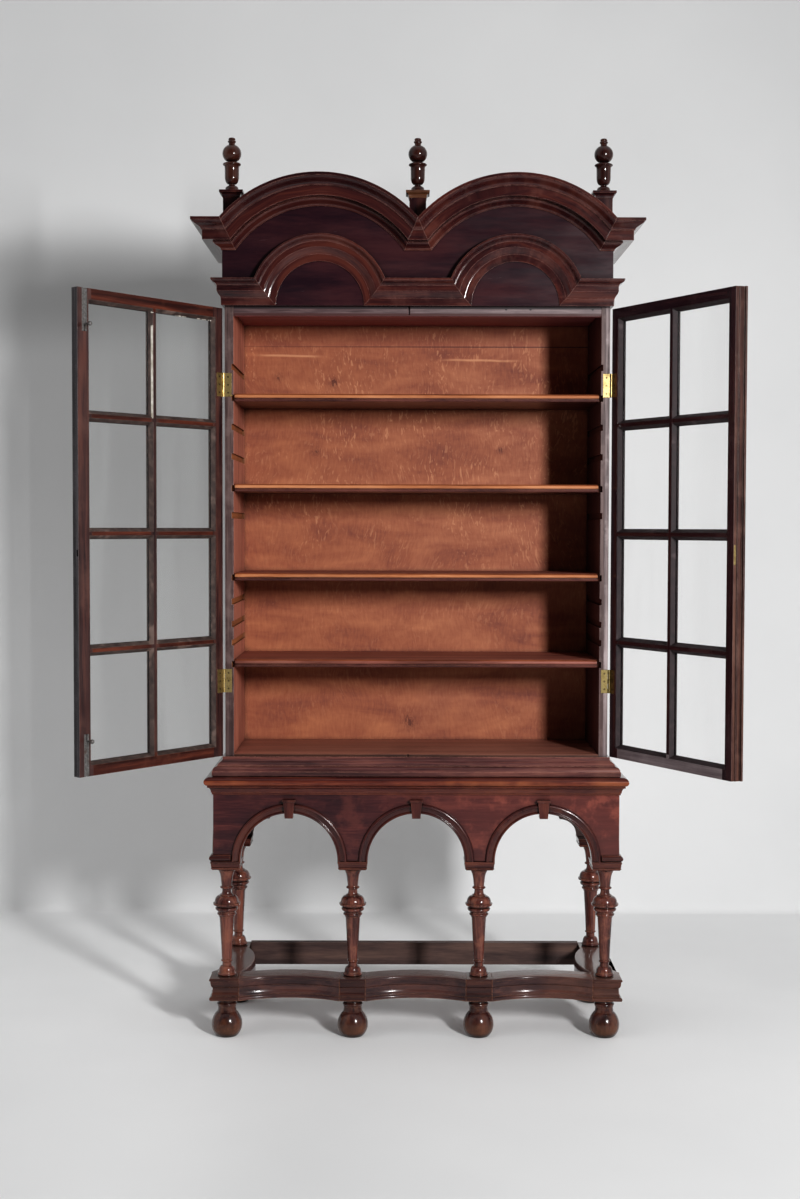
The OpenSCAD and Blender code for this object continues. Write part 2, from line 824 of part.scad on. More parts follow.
// The space within the stiles and rails less a gap on every edge, from inset n0 to n1
module within_frame(meet, gap, n0, n1) {
    translate([door_u0 + stile_w + gap, -n1, door_z0 + stile_w + gap])
        cube([door_u1 - door_u0 - stile_w - meet - 2 * gap, n1 - n0, door_z1 - door_z0 - 2 * stile_w - 2 * gap]);
}

module stiles_and_rails(meet) {
    difference() {
        door_slab(door_u1 + meeting_step / 2, meet);
        within_frame(meet, 0, -1, door_t + 1);
        for (z = hinge_zs)
            translate([door_u0 - 1, -hinge_leaf_t, z - hair])
                cube([hinge_door_leaf_w + 1 + hair, hinge_leaf_t + 1, hinge_h + 2 * hair]);
    }
}

hinge_zs = [door_z0 + hinge_inset, door_z1 - hinge_inset - hinge_h];
bolt_u = pin_x - bolt_x;
bolt_plate_w = 16;
bolt_plate_t = 2.4;
bolt_w = 5;
bolt_t = 3.6;
lock_z = door_z0 + (door_z1 - door_z0) * 0.46;
lock_case_d = 20;
lock_case_t = 6;
lock_n = tongue_t / 2;
lock_bolt_t = 3;
lock_bolt_h = 14;

module left_door_frame() {
    step = meeting_step / 2;
    color(walnut)
        left_door_place()
            difference() {
                stiles_and_rails(meeting_stile_w);
                translate([door_u1 - step, -door_t - 1, door_z0 - 1])
                    cube([2 * meeting_step, door_t + 1 - tongue_t + hair, door_z1 - door_z0 + 2]);
                for (z = [door_z1 - bolt_plate_h, door_z0])
                    translate([bolt_u - bolt_plate_w / 2 - hair, -bolt_plate_t - bolt_t - hair, z - hair])
                        cube([bolt_plate_w + 2 * hair, bolt_plate_t + bolt_t + 1, bolt_plate_h + 2 * hair]);
                translate([door_u1 + step - lock_travel - 3, -lock_n - lock_bolt_t / 2 - 1, lock_z - lock_bolt_h / 2 - 1])
                    cube([lock_travel + 4, lock_bolt_t + 2, lock_bolt_h + 2]);
            }
}

module right_door_frame() {
    step = meeting_step / 2;
    flat = astragal_t - 3;
    lap = astragal_u1 - astragal_w;
    color(walnut)
        right_door_place()
            difference() {
                union() {
                    stiles_and_rails(stile_w);
                    translate([0, -door_t, door_z0])
                        linear_extrude(door_z1 - door_z0)
                            polygon(concat(
                                [[lap, 0.0], [lap, -flat]],
                                [for (p = arc([lap + astragal_w / 2, -flat], astragal_w / 2 - 2.5, 180, 360, 8))
                                    [p[0], -flat + (p[1] + flat) * 3 / (astragal_w / 2 - 2.5)]],
                                [[astragal_u1, -flat], [astragal_u1, -hair]],
                                [[door_u1 + step, -hair], [door_u1 + step, 0]]
                            ));
                }
                translate([door_u1 - step, -tongue_t, door_z0 - 1])
                    cube([2 * meeting_step, tongue_t + 1, door_z1 - door_z0 + 2]);
                translate([door_u1 - step - lock_case_d - hair, -lock_n - lock_case_t / 2 - hair, lock_z - lock_h / 2 - hair])
                    cube([lock_case_d + 4 * meeting_step, lock_case_t + 2 * hair, lock_h + 2 * hair]);
            }
}

// How far the bars stand back from the inner and the outer face of a door
bar_back = 1;
bar_front = 2;

module door_bars(meet) {
    color(walnut_light)
        intersection() {
            door_slab(door_u1, meet);
            within_frame(meet, hair, bar_back, door_t - bar_front);
        }
}

module door_glass(meet) {
    w = pane_w(meet) + 2 * rebate_w - 2 * glass_seat;
    h = pane_h + 2 * rebate_w - 2 * glass_seat;
    color(pane)
        for (column = [0, 1])
            for (row = [0:3])
                translate([pane_u(column, meet) - w / 2, -rebate_deep, pane_z(row) - h / 2])
                    cube([w, glass_t, h]);
}

// Putty lies on the glass against the rebate, and slopes to the edge of the opening
function putty_section(half) = let (deep = rebate_deep - glass_t) [
    [half + rebate_w - 1.5, -1], [half + rebate_w - 1.5, 1.2], [half + 1, deep - 0.6], [half + 1, deep + 1]
];

module door_putty(meet) {
    deep = rebate_deep - glass_t;
    w = pane_w(meet) + 2 * rebate_w;
    h = pane_h + 2 * rebate_w;
    color(putty_brown)
        for (column = [0, 1])
            for (row = [0:3])
                translate([pane_u(column, meet), 0, pane_z(row)])
                    difference() {
                        translate([-w / 2, -deep, -h / 2]) cube([w, deep - 1, h]);
                        framed_hole(putty_section(pane_w(meet) / 2), putty_section(pane_h / 2));
                    }
}

/* Hinges */

// Knuckles of a hinge and their leaf: every second fifth of the height from the first one up
module hinge_leaf(first, leaf_w, y) {
    part = hinge_h / 5;
    translate([pin_out, y, 0]) cube([leaf_w, hinge_leaf_t, hinge_h]);
    for (i = [first:2:4]) {
        low = i == 0 ? 0 : 0.15;
        high = i == 4 ? 0 : 0.15;
        translate([0, 0, i * part + low]) {
            cylinder(r = knuckle_r, h = part - low - high, $fn = 32);
            translate([0, y, 0]) cube([pin_out + 1, hinge_leaf_t, part - low - high]);
        }
    }
}

module case_hinges() {
    color(brass)
        both_sides()
            translate([-pin_x, -door_gap, 0])
                for (z = hinge_zs)
                    translate([0, 0, z])
                        union() {
                            hinge_leaf(0, hinge_leaf_w, door_gap);
                            cylinder(r = hinge_pin_r, h = hinge_h, $fn = 32);
                        }
}

module door_hinges() {
    color(brass)
        for (z = hinge_zs)
            translate([0, 0, z])
                difference() {
                    hinge_leaf(1, hinge_door_leaf_w, -hinge_leaf_t);
                    translate([0, 0, -1]) cylinder(r = hinge_pin_r + 0.05, h = hinge_h + 2, $fn = 32);
                }
}

/* Bolts and lock */

module bolt_plate(z) {
    translate([bolt_u - bolt_plate_w / 2, -bolt_plate_t - bolt_t, z])
        difference() {
            cube([bolt_plate_w, bolt_plate_t + bolt_t - 0.4, bolt_plate_h]);
            translate([bolt_plate_w / 2 - bolt_w / 2 - 0.2, bolt_plate_t, -1])
                cube([bolt_w + 0.4, bolt_t + 1, bolt_plate_h + 2]);
        }
}

module bolt_plates() {
    color(iron)
        left_door_place() {
            bolt_plate(door_z1 - bolt_plate_h);
            bolt_plate(door_z0);
        }
}

// A bolt lying in its plate, its knob on a neck
module bolt(z, knob_z) {
    translate([bolt_u - bolt_w / 2, 0.2 - bolt_t, z])
        cube([bolt_w, bolt_t - 0.8, bolt_plate_h - bolt_travel - 4]);
    translate([bolt_u, -0.8, knob_z])
        rotate([-90, 0, 0]) cylinder(r = 2, h = 17, $fn = 24);
    translate([bolt_u, 18, knob_z]) sphere(r = 5.4, $fn = 32);
}

module top_bolt() {
    z = door_z1 - (bolt_plate_h - bolt_travel - 4) - 1;
    color(iron) left_door_place() bolt(z, z + 3);
}

module bottom_bolt() {
    z = door_z0 + 1;
    color(iron) left_door_place() bolt(z, z + bolt_plate_h - bolt_travel - 7);
}

module door_lock() {
    u = door_u1 - meeting_step / 2;
    color(brass)
        right_door_place()
            difference() {
                translate([u - lock_case_d, -lock_n - lock_case_t / 2, lock_z - lock_h / 2])
                    cube([lock_case_d, lock_case_t, lock_h]);
                translate([u - lock_case_d + 2, -lock_n - lock_bolt_t / 2 - 0.1, lock_z - lock_bolt_h / 2 - 0.1])
                    cube([lock_case_d, lock_bolt_t + 0.2, lock_bolt_h + 0.2]);
            }
}

module lock_bolt() {
    u = door_u1 - meeting_step / 2;
    long = lock_case_d - 3;
    color(brass)
        right_door_place()
            translate([u - long, -lock_n - lock_bolt_t / 2, lock_z - lock_bolt_h / 2])
                cube([long, lock_bolt_t, lock_bolt_h]);
}

/* Hood */

// Outline of the hood's front and back boards, from the hood's base up
module hood_outline() {
    intersection() {
        union() {
            translate([-hood_half, 0]) square([2 * hood_half, board_top_z - hood_z]);
            for (side = [-1, 1])
                translate([side * dome_x, -dome_drop]) circle(r = board_r, $fn = 128);
        }
        translate([-hood_half, 0]) square([2 * hood_half, 2 * board_r]);
    }
}

module upright(thick) {
    rotate([90, 0, 0]) translate([0, 0, -thick]) linear_extrude(thick) children();
}

module hood_front() {
    color(walnut)
        difference() {
            translate([0, hood_front_y, hood_z]) upright(hood_t) hood_outline();
            translate([-bolt_x, -door_gap - bolt_t / 2, hood_z - 1])
                cylinder(r = 4.5, h = 14, $fn = 24);
        }
}

module hood_box() {
    color(walnut) {
        both_sides()
            intersection() {
                translate([hood_half - hood_t, hair, hood_z])
                    cube([hood_t, case_d - hair, dome_rise + board_r]);
                translate([dome_x, case_d + 1, dome_z])
                    rotate([90, 0, 0]) cylinder(r = board_r, h = case_d + 2, $fn = 128);
            }
        translate([0, case_d - 14, hood_z])
            upright(14)
                intersection() {
                    hood_outline();
                    translate([-hood_half + hood_t + hair, 0])
                        square([2 * (hood_half - hood_t - hair), 2 * board_r]);
                }
    }
}

// Section of the string course: projection against height
function string_section() = let (h = string_h, out = string_out) concat(
    [[0, 0], [2.5, 0], [3.5, 17], [3.5, 18]],
    [for (p = cyma([4, 18], [out - 15, 34], 6)) p],
    [[out - 14, 35], [out - 14, h - 17], [out - 13, h - 16]],
    [for (p = cyma([out - 13, h - 15], [out - 1, h - 5], 7)) p],
    [[out, h - 4], [out, h], [0, h]]
);

// Section of the cornice: bed mould, soffit, corona, wave and fillet
function cornice_section() = let (h = cornice_h, out = cornice_out) concat(
    [[0, 0], [2.5, 0], [2.5, 3]],
    [for (p = cyma([3, 3], [19, 16], 7)) p],
    [[21.5, 17], [21.5, 20], [out - 26.5, 20], [out - 26.5, h - 28], [out - 24, h - 28], [out - 24, h - 26]],
    [for (p = cyma([out - 23.5, h - 26], [out - 3, h - 7.5], 9)) p],
    [[out, h - 7], [out, h], [0, h]]
);

// Where an arch moulding meets the straight one of the same section: half width at a height
// above the arch's centre. It is the curve on which both sections are equally high.
function mitre_half(radius, rise, z) = let (q = radius - rise) sqrt(pow(q, 2) + 2 * q * z);

// The field that belongs to an arch, seen from the front, with the arch centre as its origin
module arch_field(radius, rise, height, steps, grow) {
    right = [
        for (i = [0:steps]) let (z = rise + height * i / steps)
            [mitre_half(radius, rise, z) + grow, z]
    ];
    top = radius + height + 20;
    polygon(concat(
        [[right[0][0], rise - 1]], right, [[right[steps][0], top], [-right[steps][0], top]],
        [for (i = [steps:-1:0]) [-right[i][0], right[i][1]]], [[-right[0][0], rise - 1]]
    ));
}

module string_fields(grow) {
    for (side = [-1, 1])
        translate([side * dome_x, hood_front_y + 1, hood_z])
            rotate([90, 0, 0])
                linear_extrude(string_out + 10) arch_field(string_r, 0, string_h, 8, grow);
}

module string_course() {
    color(walnut)
        difference() {
            mitred_run(string_section(), string_out, hood_half, hood_front_y, case_d, hood_z);
            string_fields(0);
        }
}

module string_arches() {
    section = [for (p = string_section()) [string_r + p[1], p[0]]];
    color(walnut)
        intersection() {
            for (side = [-1, 1])
                translate([side * dome_x, hood_front_y, hood_z])
                    rotate([90, 0, 0]) rotate_extrude(angle = 180, $fn = 128) polygon(section);
            string_fields(-hair);
        }
}

// The field of the cornice's left (-1) or right (1) arch, as far as the middle of the hood
module cornice_field(side, grow) {
    intersection() {
        translate([side * dome_x, hood_front_y + 1, dome_z])
            rotate([90, 0, 0])
                linear_extrude(cornice_out + 10) arch_field(cornice_r, dome_rise, cornice_h, 10, grow);
        translate([side > 0 ? -grow * 0.5 : -2 * hood_half + grow * 0.5, hood_front_y - 2 * cornice_out, hood_z])
            cube([2 * hood_half, 4 * cornice_out, 4 * cornice_h + frieze_h]);
    }
}

module cornice_ends() {
    color(walnut)
        difference() {
            mitred_run(cornice_section(), cornice_out, hood_half, hood_front_y, case_d, cornice_z);
            cornice_field(-1, 0);
            cornice_field(1, 0);
        }
}

module cornice_arches() {
    section = [for (p = cornice_section()) [cornice_r + p[1], p[0]]];
    color(walnut)
        for (side = [-1, 1])
            intersection() {
                translate([side * dome_x, hood_front_y, dome_z])
                    rotate([90, 0, 0])
                        rotate([0, 0, 20]) rotate_extrude(angle = 140, $fn = 160) polygon(section);
                cornice_field(side, -hair);
            }
}

module dome_boards() {
    color(walnut_light)
        both_sides()
            intersection() {
                translate([dome_x, case_d, dome_z])
                    rotate([90, 0, 0])
                        linear_extrude(case_d - hood_front_y)
                            difference() {
                                circle(r = dome_r, $fn = 160);
                                circle(r = board_r + 0.02, $fn = 160);
                            }
                translate([hair, hood_front_y - 1, hood_z + frieze_h])
                    cube([hood_half - hair, case_d - hood_front_y + 2, 2 * cornice_r]);
            }
}

plinth_x = hood_half - plinth_w / 2;
plinth_y = 2 + plinth_w / 2;

module plinths() {
    half = plinth_w / 2;
    low = hood_z + frieze_h + 40;
    cap_z = hood_z + plinth_rise;
    cap = concat(
        [[0, 0], [half + 1.5, 0]],
        quarter_up([half + 1.5, 1], [half + 7, plinth_cap_h - 7], 4),
        [[half + 9, plinth_cap_h - 6], [half + 9, plinth_cap_h], [0, plinth_cap_h]]
    );
    color(walnut)
        for (x = [-plinth_x, 0, plinth_x]) {
            translate([x, plinth_y, cap_z]) square_mould(cap);
            difference() {
                translate([x - half, plinth_y - half, low]) cube([plinth_w, plinth_w, cap_z - low]);
                for (side = [-1, 1])
                    translate([side * dome_x, case_d, dome_z])
                        rotate([90, 0, 0]) cylinder(r = dome_r + 0.05, h = 2 * case_d, $fn = 160);
            }
        }
}

module finials() {
    h = finial_h;
    ball = finial_ball_r;
    urn = finial_urn_r;
    profile = concat(
        [[0, 0], [19, 0], [19, 3.5], [17.5, 5]],
        quarter_up([17, 5], [9, 14], 3),
        [[8, 15], [8, 18]],
        quarter([8, 18], [urn, 36], 5),
        [[urn, 40], [urn + 0.3, h - 73], [urn + 2, h - 70]],
        arc([urn + 1, h - 66.8], 3.6, -60, 60, 4),
        [[15, h - 63], [10.2, h - 61]],
        [for (i = [0:8]) let (a = -64 + 128 * i / 8) [ball * cos(a), h - 39.5 + 21.5 * sin(a)]],
        [[8, h - 19], [8, h - 13]],
        arc([7.6, h - 9.5], 3, -70, 70, 3),
        [[8, h - 5.5]],
        arc([6.5, h - 3], 3, -30, 90, 3),
        [[0, h]]
    );
    color(walnut_light)
        for (x = [-plinth_x, 0, plinth_x])
            translate([x, plinth_y, hood_z + plinth_rise + plinth_cap_h])
                rotate_extrude($fn = 48) polygon(profile);
}

for (i = [1:6]) {
    place() foot(i);
    place() leg(i);
}
place() stretcher_blocks();
place() front_stretchers();
place() side_stretchers();
place() rear_stretcher();
place() front_apron();
place() side_aprons();
place() rear_apron();
place() rear_brackets();
place() arch_mouldings();
place() keystones();
place() capitals();
place() stand_moulding();
place() case_side_left();
place() case_side_right();
place() case_top();
place() case_floor();
place() top_rail();
place() back_boards();
place() base_moulding();
for (i = [1:4])
    place() shelf(i);
place() left_door_frame();
place() left_door_place() door_bars(meeting_stile_w);  // left_door_bars
place() left_door_place() door_glass(meeting_stile_w);  // left_door_glass
place() left_door_place() door_putty(meeting_stile_w);  // left_door_putty
place() right_door_frame();
place() right_door_place() door_bars(stile_w);  // right_door_bars
place() right_door_place() door_glass(stile_w);  // right_door_glass
place() right_door_place() door_putty(stile_w);  // right_door_putty
place() case_hinges();
place() left_door_place() door_hinges();  // left_door_hinges
place() right_door_place() door_hinges();  // right_door_hinges
place() bolt_plates();
place() top_bolt();
place() bottom_bolt();
place() door_lock();
place() lock_bolt();
place() hood_front();
place() hood_box();
place() string_course();
place() string_arches();
place() cornice_ends();
place() cornice_arches();
place() dome_boards();
place() plinths();
place() finials();
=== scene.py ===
"""A double-domed china cabinet of old polished walnut on an arcaded stand, with both glazed doors open.

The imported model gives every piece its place. This file gives the pieces their finish,
from the feet up to the finials, and adds the small things such as screws and putty chips.
"""

import math
import random

import bmesh
import bpy
from mathutils import Matrix, Vector


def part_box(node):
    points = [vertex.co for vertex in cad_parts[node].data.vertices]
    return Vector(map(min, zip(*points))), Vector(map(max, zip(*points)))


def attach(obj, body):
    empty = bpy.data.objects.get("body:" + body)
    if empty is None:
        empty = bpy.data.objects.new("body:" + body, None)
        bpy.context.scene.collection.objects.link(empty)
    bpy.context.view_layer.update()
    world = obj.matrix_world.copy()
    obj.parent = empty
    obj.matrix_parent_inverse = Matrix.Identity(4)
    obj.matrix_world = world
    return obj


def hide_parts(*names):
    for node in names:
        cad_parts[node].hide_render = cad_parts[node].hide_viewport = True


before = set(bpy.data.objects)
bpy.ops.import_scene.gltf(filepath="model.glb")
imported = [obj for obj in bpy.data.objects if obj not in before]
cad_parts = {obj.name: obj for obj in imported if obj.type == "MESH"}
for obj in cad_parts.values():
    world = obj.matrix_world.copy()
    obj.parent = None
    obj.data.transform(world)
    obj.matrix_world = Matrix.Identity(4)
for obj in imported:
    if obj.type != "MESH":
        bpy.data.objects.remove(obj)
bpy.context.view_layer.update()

# Camera. Every place in this file is in millimetres from the middle of the case's front
# edges, on the floor: X to the right, Y towards the wall, Z up. The camera stands 4.4 m
# in front of the case, a little left of its middle, and looks slightly down.
left_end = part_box("case_side_left")[0]
right_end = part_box("case_side_right")[1]
case_middle = Vector(((left_end.x + right_end.x) / 2, left_end.y, 0))


def at(x, y, z):
    """The point x, y, z millimetres from the middle of the case's front."""
    return case_middle + Vector((x, y, z)) / 1000


look_down = 0.0421967
look_right = 0.0015126
tilt = 0.0023795
focal_length_in_pixels = 1717.15
picture_height_in_pixels = 1199
sensor = 36
level_share = math.cos(look_down)
ahead = Vector((math.sin(look_right), math.cos(look_right), 0))
forward = ahead * level_share - Vector((0, 0, math.sin(look_down)))
level = Vector((ahead.y, -ahead.x, 0))
upright = level.cross(forward)
camera_right = level * math.cos(tilt) + upright * math.sin(tilt)
camera_top = upright * math.cos(tilt) - level * math.sin(tilt)
scene = bpy.context.scene
lens = bpy.data.cameras.new("camera")
lens.sensor_width = sensor
lens.lens = focal_length_in_pixels * sensor / picture_height_in_pixels
lens.clip_start = 0.05
camera = bpy.data.objects.new("camera", lens)
scene.collection.objects.link(camera)
camera_turn = Matrix((camera_right, camera_top, -forward)).transposed().to_4x4()
camera.matrix_world = Matrix.Translation(at(-49.4, -4389.0, 1313.0)) @ camera_turn
scene.camera = camera

# Studio. A tall soft box with a grid stands to the right in front, low enough to shine under
# the shelves. The room is pale at the sides and above, and dark behind the camera. The floor
# and the wall are one pale sheet, which is clear when it is seen from behind.
scene.view_settings.view_transform = "Standard"
scene.view_settings.look = "Medium High Contrast"
lamp_place = at(1990, -4020, 2020)
lamp_aim = at(-800, 1420, 900)
soft_box = bpy.data.lights.new("key_lamp", "AREA")
soft_box.shape = "RECTANGLE"
soft_box.size = 0.4
soft_box.size_y = 0.75
soft_box.energy = 66
soft_box.spread = math.radians(110)
key_lamp = bpy.data.objects.new("key_lamp", soft_box)
scene.collection.objects.link(key_lamp)
lamp_turn = (lamp_aim - lamp_place).to_track_quat("-Z", "Y").to_matrix().to_4x4()
key_lamp.matrix_world = Matrix.Translation(lamp_place) @ lamp_turn


def add(tree, kind, inputs=None, **settings):
    """A new shader node. An input that is given a socket is wired to it, any other is set."""
    made = tree.nodes.new("ShaderNode" + kind)
    for key, value in settings.items():
        setattr(made, key, value)
    for key, value in (inputs or {}).items():
        if isinstance(value, bpy.types.NodeSocket):
            tree.links.new(value, made.inputs[key])
        else:
            made.inputs[key].default_value = value
    return made


def new_finish(name, source="Object"):
    """Makes an empty material, and returns its node tree and its coordinates."""
    material = bpy.data.materials.new(name)
    material.use_nodes = True
    tree = material.node_tree
    tree.nodes.clear()
    return tree, add(tree, "TexCoord").outputs[source]


def set_surface(tree, inputs):
    """Gives a material its surface."""
    surface = add(tree, "BsdfPrincipled", inputs)
    add(tree, "OutputMaterial", {"Surface": surface.outputs[0]})


def set_uneven_surface(tree, colour, pattern, rough, relief, metallic=0.0, specular=0.5):
    """The same for a surface whose roughness and relief follow a pattern."""
    set_surface(tree, {
        "Base Color": colour, "Metallic": metallic, "Roughness": band(pattern, 0.3, 0.7, *rough),
        "Normal": bumps(pattern, *relief), "Specular IOR Level": specular})


def noise(coords, scale, detail=2.0, roughness=0.5, distortion=0.0, result="Fac"):
    """A cloudy pattern."""
    made = add(coords.id_data, "TexNoise", {
        "Vector": coords, "Scale": scale, "Detail": detail, "Roughness": roughness, "Distortion": distortion})
    return made.outputs[result]


def band(source, low, high, at_low=0.0, at_high=1.0):
    """Turns source into at_low below low and at_high above high, with a smooth change between."""
    made = add(
        source.id_data, "MapRange",
        {"Value": source, "From Min": low, "From Max": high, "To Min": at_low, "To Max": at_high},
        interpolation_type="SMOOTHSTEP", clamp=True)
    return made.outputs[0]


def part_of(vector, axis):
    """The X, Y or Z of a vector."""
    return add(vector.id_data, "SeparateXYZ", {"Vector": vector}).outputs[axis]


def between(coords, axis, start, end, at_start=0.0, at_end=1.0):
    """A smooth change along an axis from one place to another, both in millimetres."""
    ends = [getattr(at(mm, mm, mm), axis.lower()) for mm in (start, end)]
    return band(part_of(coords, axis), *ends, at_start, at_end)


def figure(operation, a, b=0.0):
    """A number worked out from others."""
    return add(a.id_data, "Math", {0: a, 1: b}, operation=operation).outputs[0]


def times(first, *others):
    """Numbers multiplied together."""
    for other in others:
        first = figure("MULTIPLY", first, other)
    return first


def colours(source, places, tones):
    """The tones that lie at those places along a ramp."""
    made = add(source.id_data, "ValToRGB", {"Fac": source})
    ramp = made.color_ramp
    while len(ramp.elements) < len(tones):
        ramp.elements.new(0.5)
    for element, place, tone in zip(ramp.elements, places, tones):
        element.position = place
        element.color = (*tone, 1)
    return made.outputs["Color"]


world = bpy.data.worlds.new("studio")
world.use_nodes = True
room = world.node_tree
background = room.nodes["Background"].inputs
background["Color"].default_value = (1, 1, 1, 1)
outwards = part_of(add(room, "TexCoord").outputs["Generated"], "Y")
room.links.new(band(outwards, -0.85, -0.35, 0.07, 0.58), background["Strength"])
scene.world = world

tree, coords = new_finish("painted_sheet")
pale = colours(noise(coords, 1.3, 3.0), (0.3, 0.7), ((0.8, 0.803, 0.806), (0.85, 0.852, 0.853)))
# The floor is darker towards the front. On the left, the wall has a painted shadow of the hood high up and
# painted light further down.
darker_to_the_front = between(coords, "Y", -1500, 300, 0.8, 1.0)
at_left = between(coords, "X", -200, -700)
painted_hood_shadow = times(between(coords, "Z", 2340, 2180), between(coords, "Z", 1860, 2060))
painted_fill_light = times(at_left, between(coords, "Z", 1700, 800, 0.0, 0.13))
tone = figure("SUBTRACT", darker_to_the_front, times(at_left, times(painted_hood_shadow, 0.26)))
tone = figure("ADD", tone, painted_fill_light)
used = add(tree, "HueSaturation", {"Value": tone, "Color": pale}).outputs[0]
paint = add(tree, "BsdfPrincipled", {"Base Color": used, "Roughness": 0.85, "Specular IOR Level": 0.2})
clear = add(tree, "BsdfTransparent")
from_behind = add(tree, "NewGeometry").outputs["Backfacing"]
both_sides = add(tree, "MixShader", {0: from_behind, 1: paint.outputs[0], 2: clear.outputs[0]})
add(tree, "OutputMaterial", {"Surface": both_sides.outputs[0]})


def make_object(shape, name, materials):
    """An object of a finished shape, with its faces smooth and its materials given by their names."""
    for face in shape.faces:
        face.smooth = True
    mesh = bpy.data.meshes.new(name)
    shape.to_mesh(mesh)
    shape.free()
    for material in materials:
        mesh.materials.append(bpy.data.materials[material])
    made = bpy.data.objects.new(name, mesh)
    scene.collection.objects.link(made)
    return made


wall_y = 1420
wall_top = 4600
floor_front_y = -9000
sheet_left = -7000
sheet_width_in_metres = 14
fold = 30
outline = [(floor_front_y, 0), (wall_y - fold, 0)]
for turned in (18, 36, 54, 72, 90):
    a = math.radians(turned)
    outline.append((wall_y - fold + fold * math.sin(a), fold - fold * math.cos(a)))
outline.append((wall_y, wall_top))
sheet = bmesh.new()
line = [sheet.verts.new(at(sheet_left, y, z)) for y, z in outline]
edges = [sheet.edges.new(pair) for pair in zip(line, line[1:])]
swept = bmesh.ops.extrude_edge_only(sheet, edges=edges)["geom"]
far_end = [v for v in swept if isinstance(v, bmesh.types.BMVert)]
bmesh.ops.translate(sheet, verts=far_end, vec=(sheet_width_in_metres, 0, 0))
sheet.normal_update()
if min(face.normal.z for face in sheet.faces) < -0.5:
    bmesh.ops.reverse_faces(sheet, faces=sheet.faces)
make_object(sheet, "floor_and_wall", ["painted_sheet"])

# Feet. Six turned bun feet of dark stained beech, darker above and worn to a golden brown
# below, each with a beaded neck that goes into the block above it.


def mix_colours(factor, a, b, mode="MIX"):
    """Colour b laid over a. The factor may be a number or a socket, and b a colour or a socket."""
    over = b if isinstance(b, bpy.types.NodeSocket) else (*b, 1)
    made = add(
        a.id_data, "Mix", {0: factor, 6: a, 7: over}, data_type="RGBA", blend_type=mode, clamp_factor=True)
    return made.outputs[2]


def stretched(coords, scale, rotation=(0, 0, 0)):
    """Coordinates stretched by a scale and turned."""
    return add(coords.id_data, "Mapping", {"Vector": coords, "Rotation": rotation, "Scale": scale}).outputs[0]


def grain_scale(grain, along, across):
    """The stretch of a pattern of lines along X, Y or Z, or along U of a UV map."""
    return {"X": (along, across, across), "Y": (across, along, across), "Z": (across, across, along),
            "UV": (along, across, 1.0)}[grain]


def blend(a, b, share):
    """A share of a, and the rest of b."""
    return figure("ADD", times(a, share), times(b, 1 - share))


def bumps(height, strength, depth, normal=None):
    """The normal of a surface with that relief, laid over another normal if one is given."""
    inputs = {"Height": height, "Strength": strength, "Distance": depth}
    if normal:
        inputs["Normal"] = normal
    return add(height.id_data, "Bump", inputs).outputs[0]


def openness(tree, reach):
    """One in the open, and less in a corner that has walls within reach, in metres."""
    return add(tree, "AmbientOcclusion", {"Distance": reach}, samples=4).outputs["AO"]


def rounded_edges(tree, radius):
    """The normal with the edges rounded off, and how well it agrees with the true one."""
    rounded = add(tree, "Bevel", {"Radius": radius}, samples=4).outputs[0]
    true_normal = add(tree, "NewGeometry").outputs["Normal"]
    agrees = add(tree, "VectorMath", {0: rounded, 1: true_normal}, operation="DOT_PRODUCT").outputs["Value"]
    return rounded, agrees


def soiled_and_shaded(wood, clean_and_unshaded, green_share=1.0):
    """The wood darkened with dirt and painted shade where the second figure is less than one."""
    green = clean_and_unshaded if green_share == 1.0 else times(clean_and_unshaded, green_share)
    dirt_and_shade = add(wood.id_data, "CombineColor", {0: clean_and_unshaded, 1: green, 2: clean_and_unshaded}).outputs[0]
    return mix_colours(1.0, wood, dirt_and_shade, "MULTIPLY")


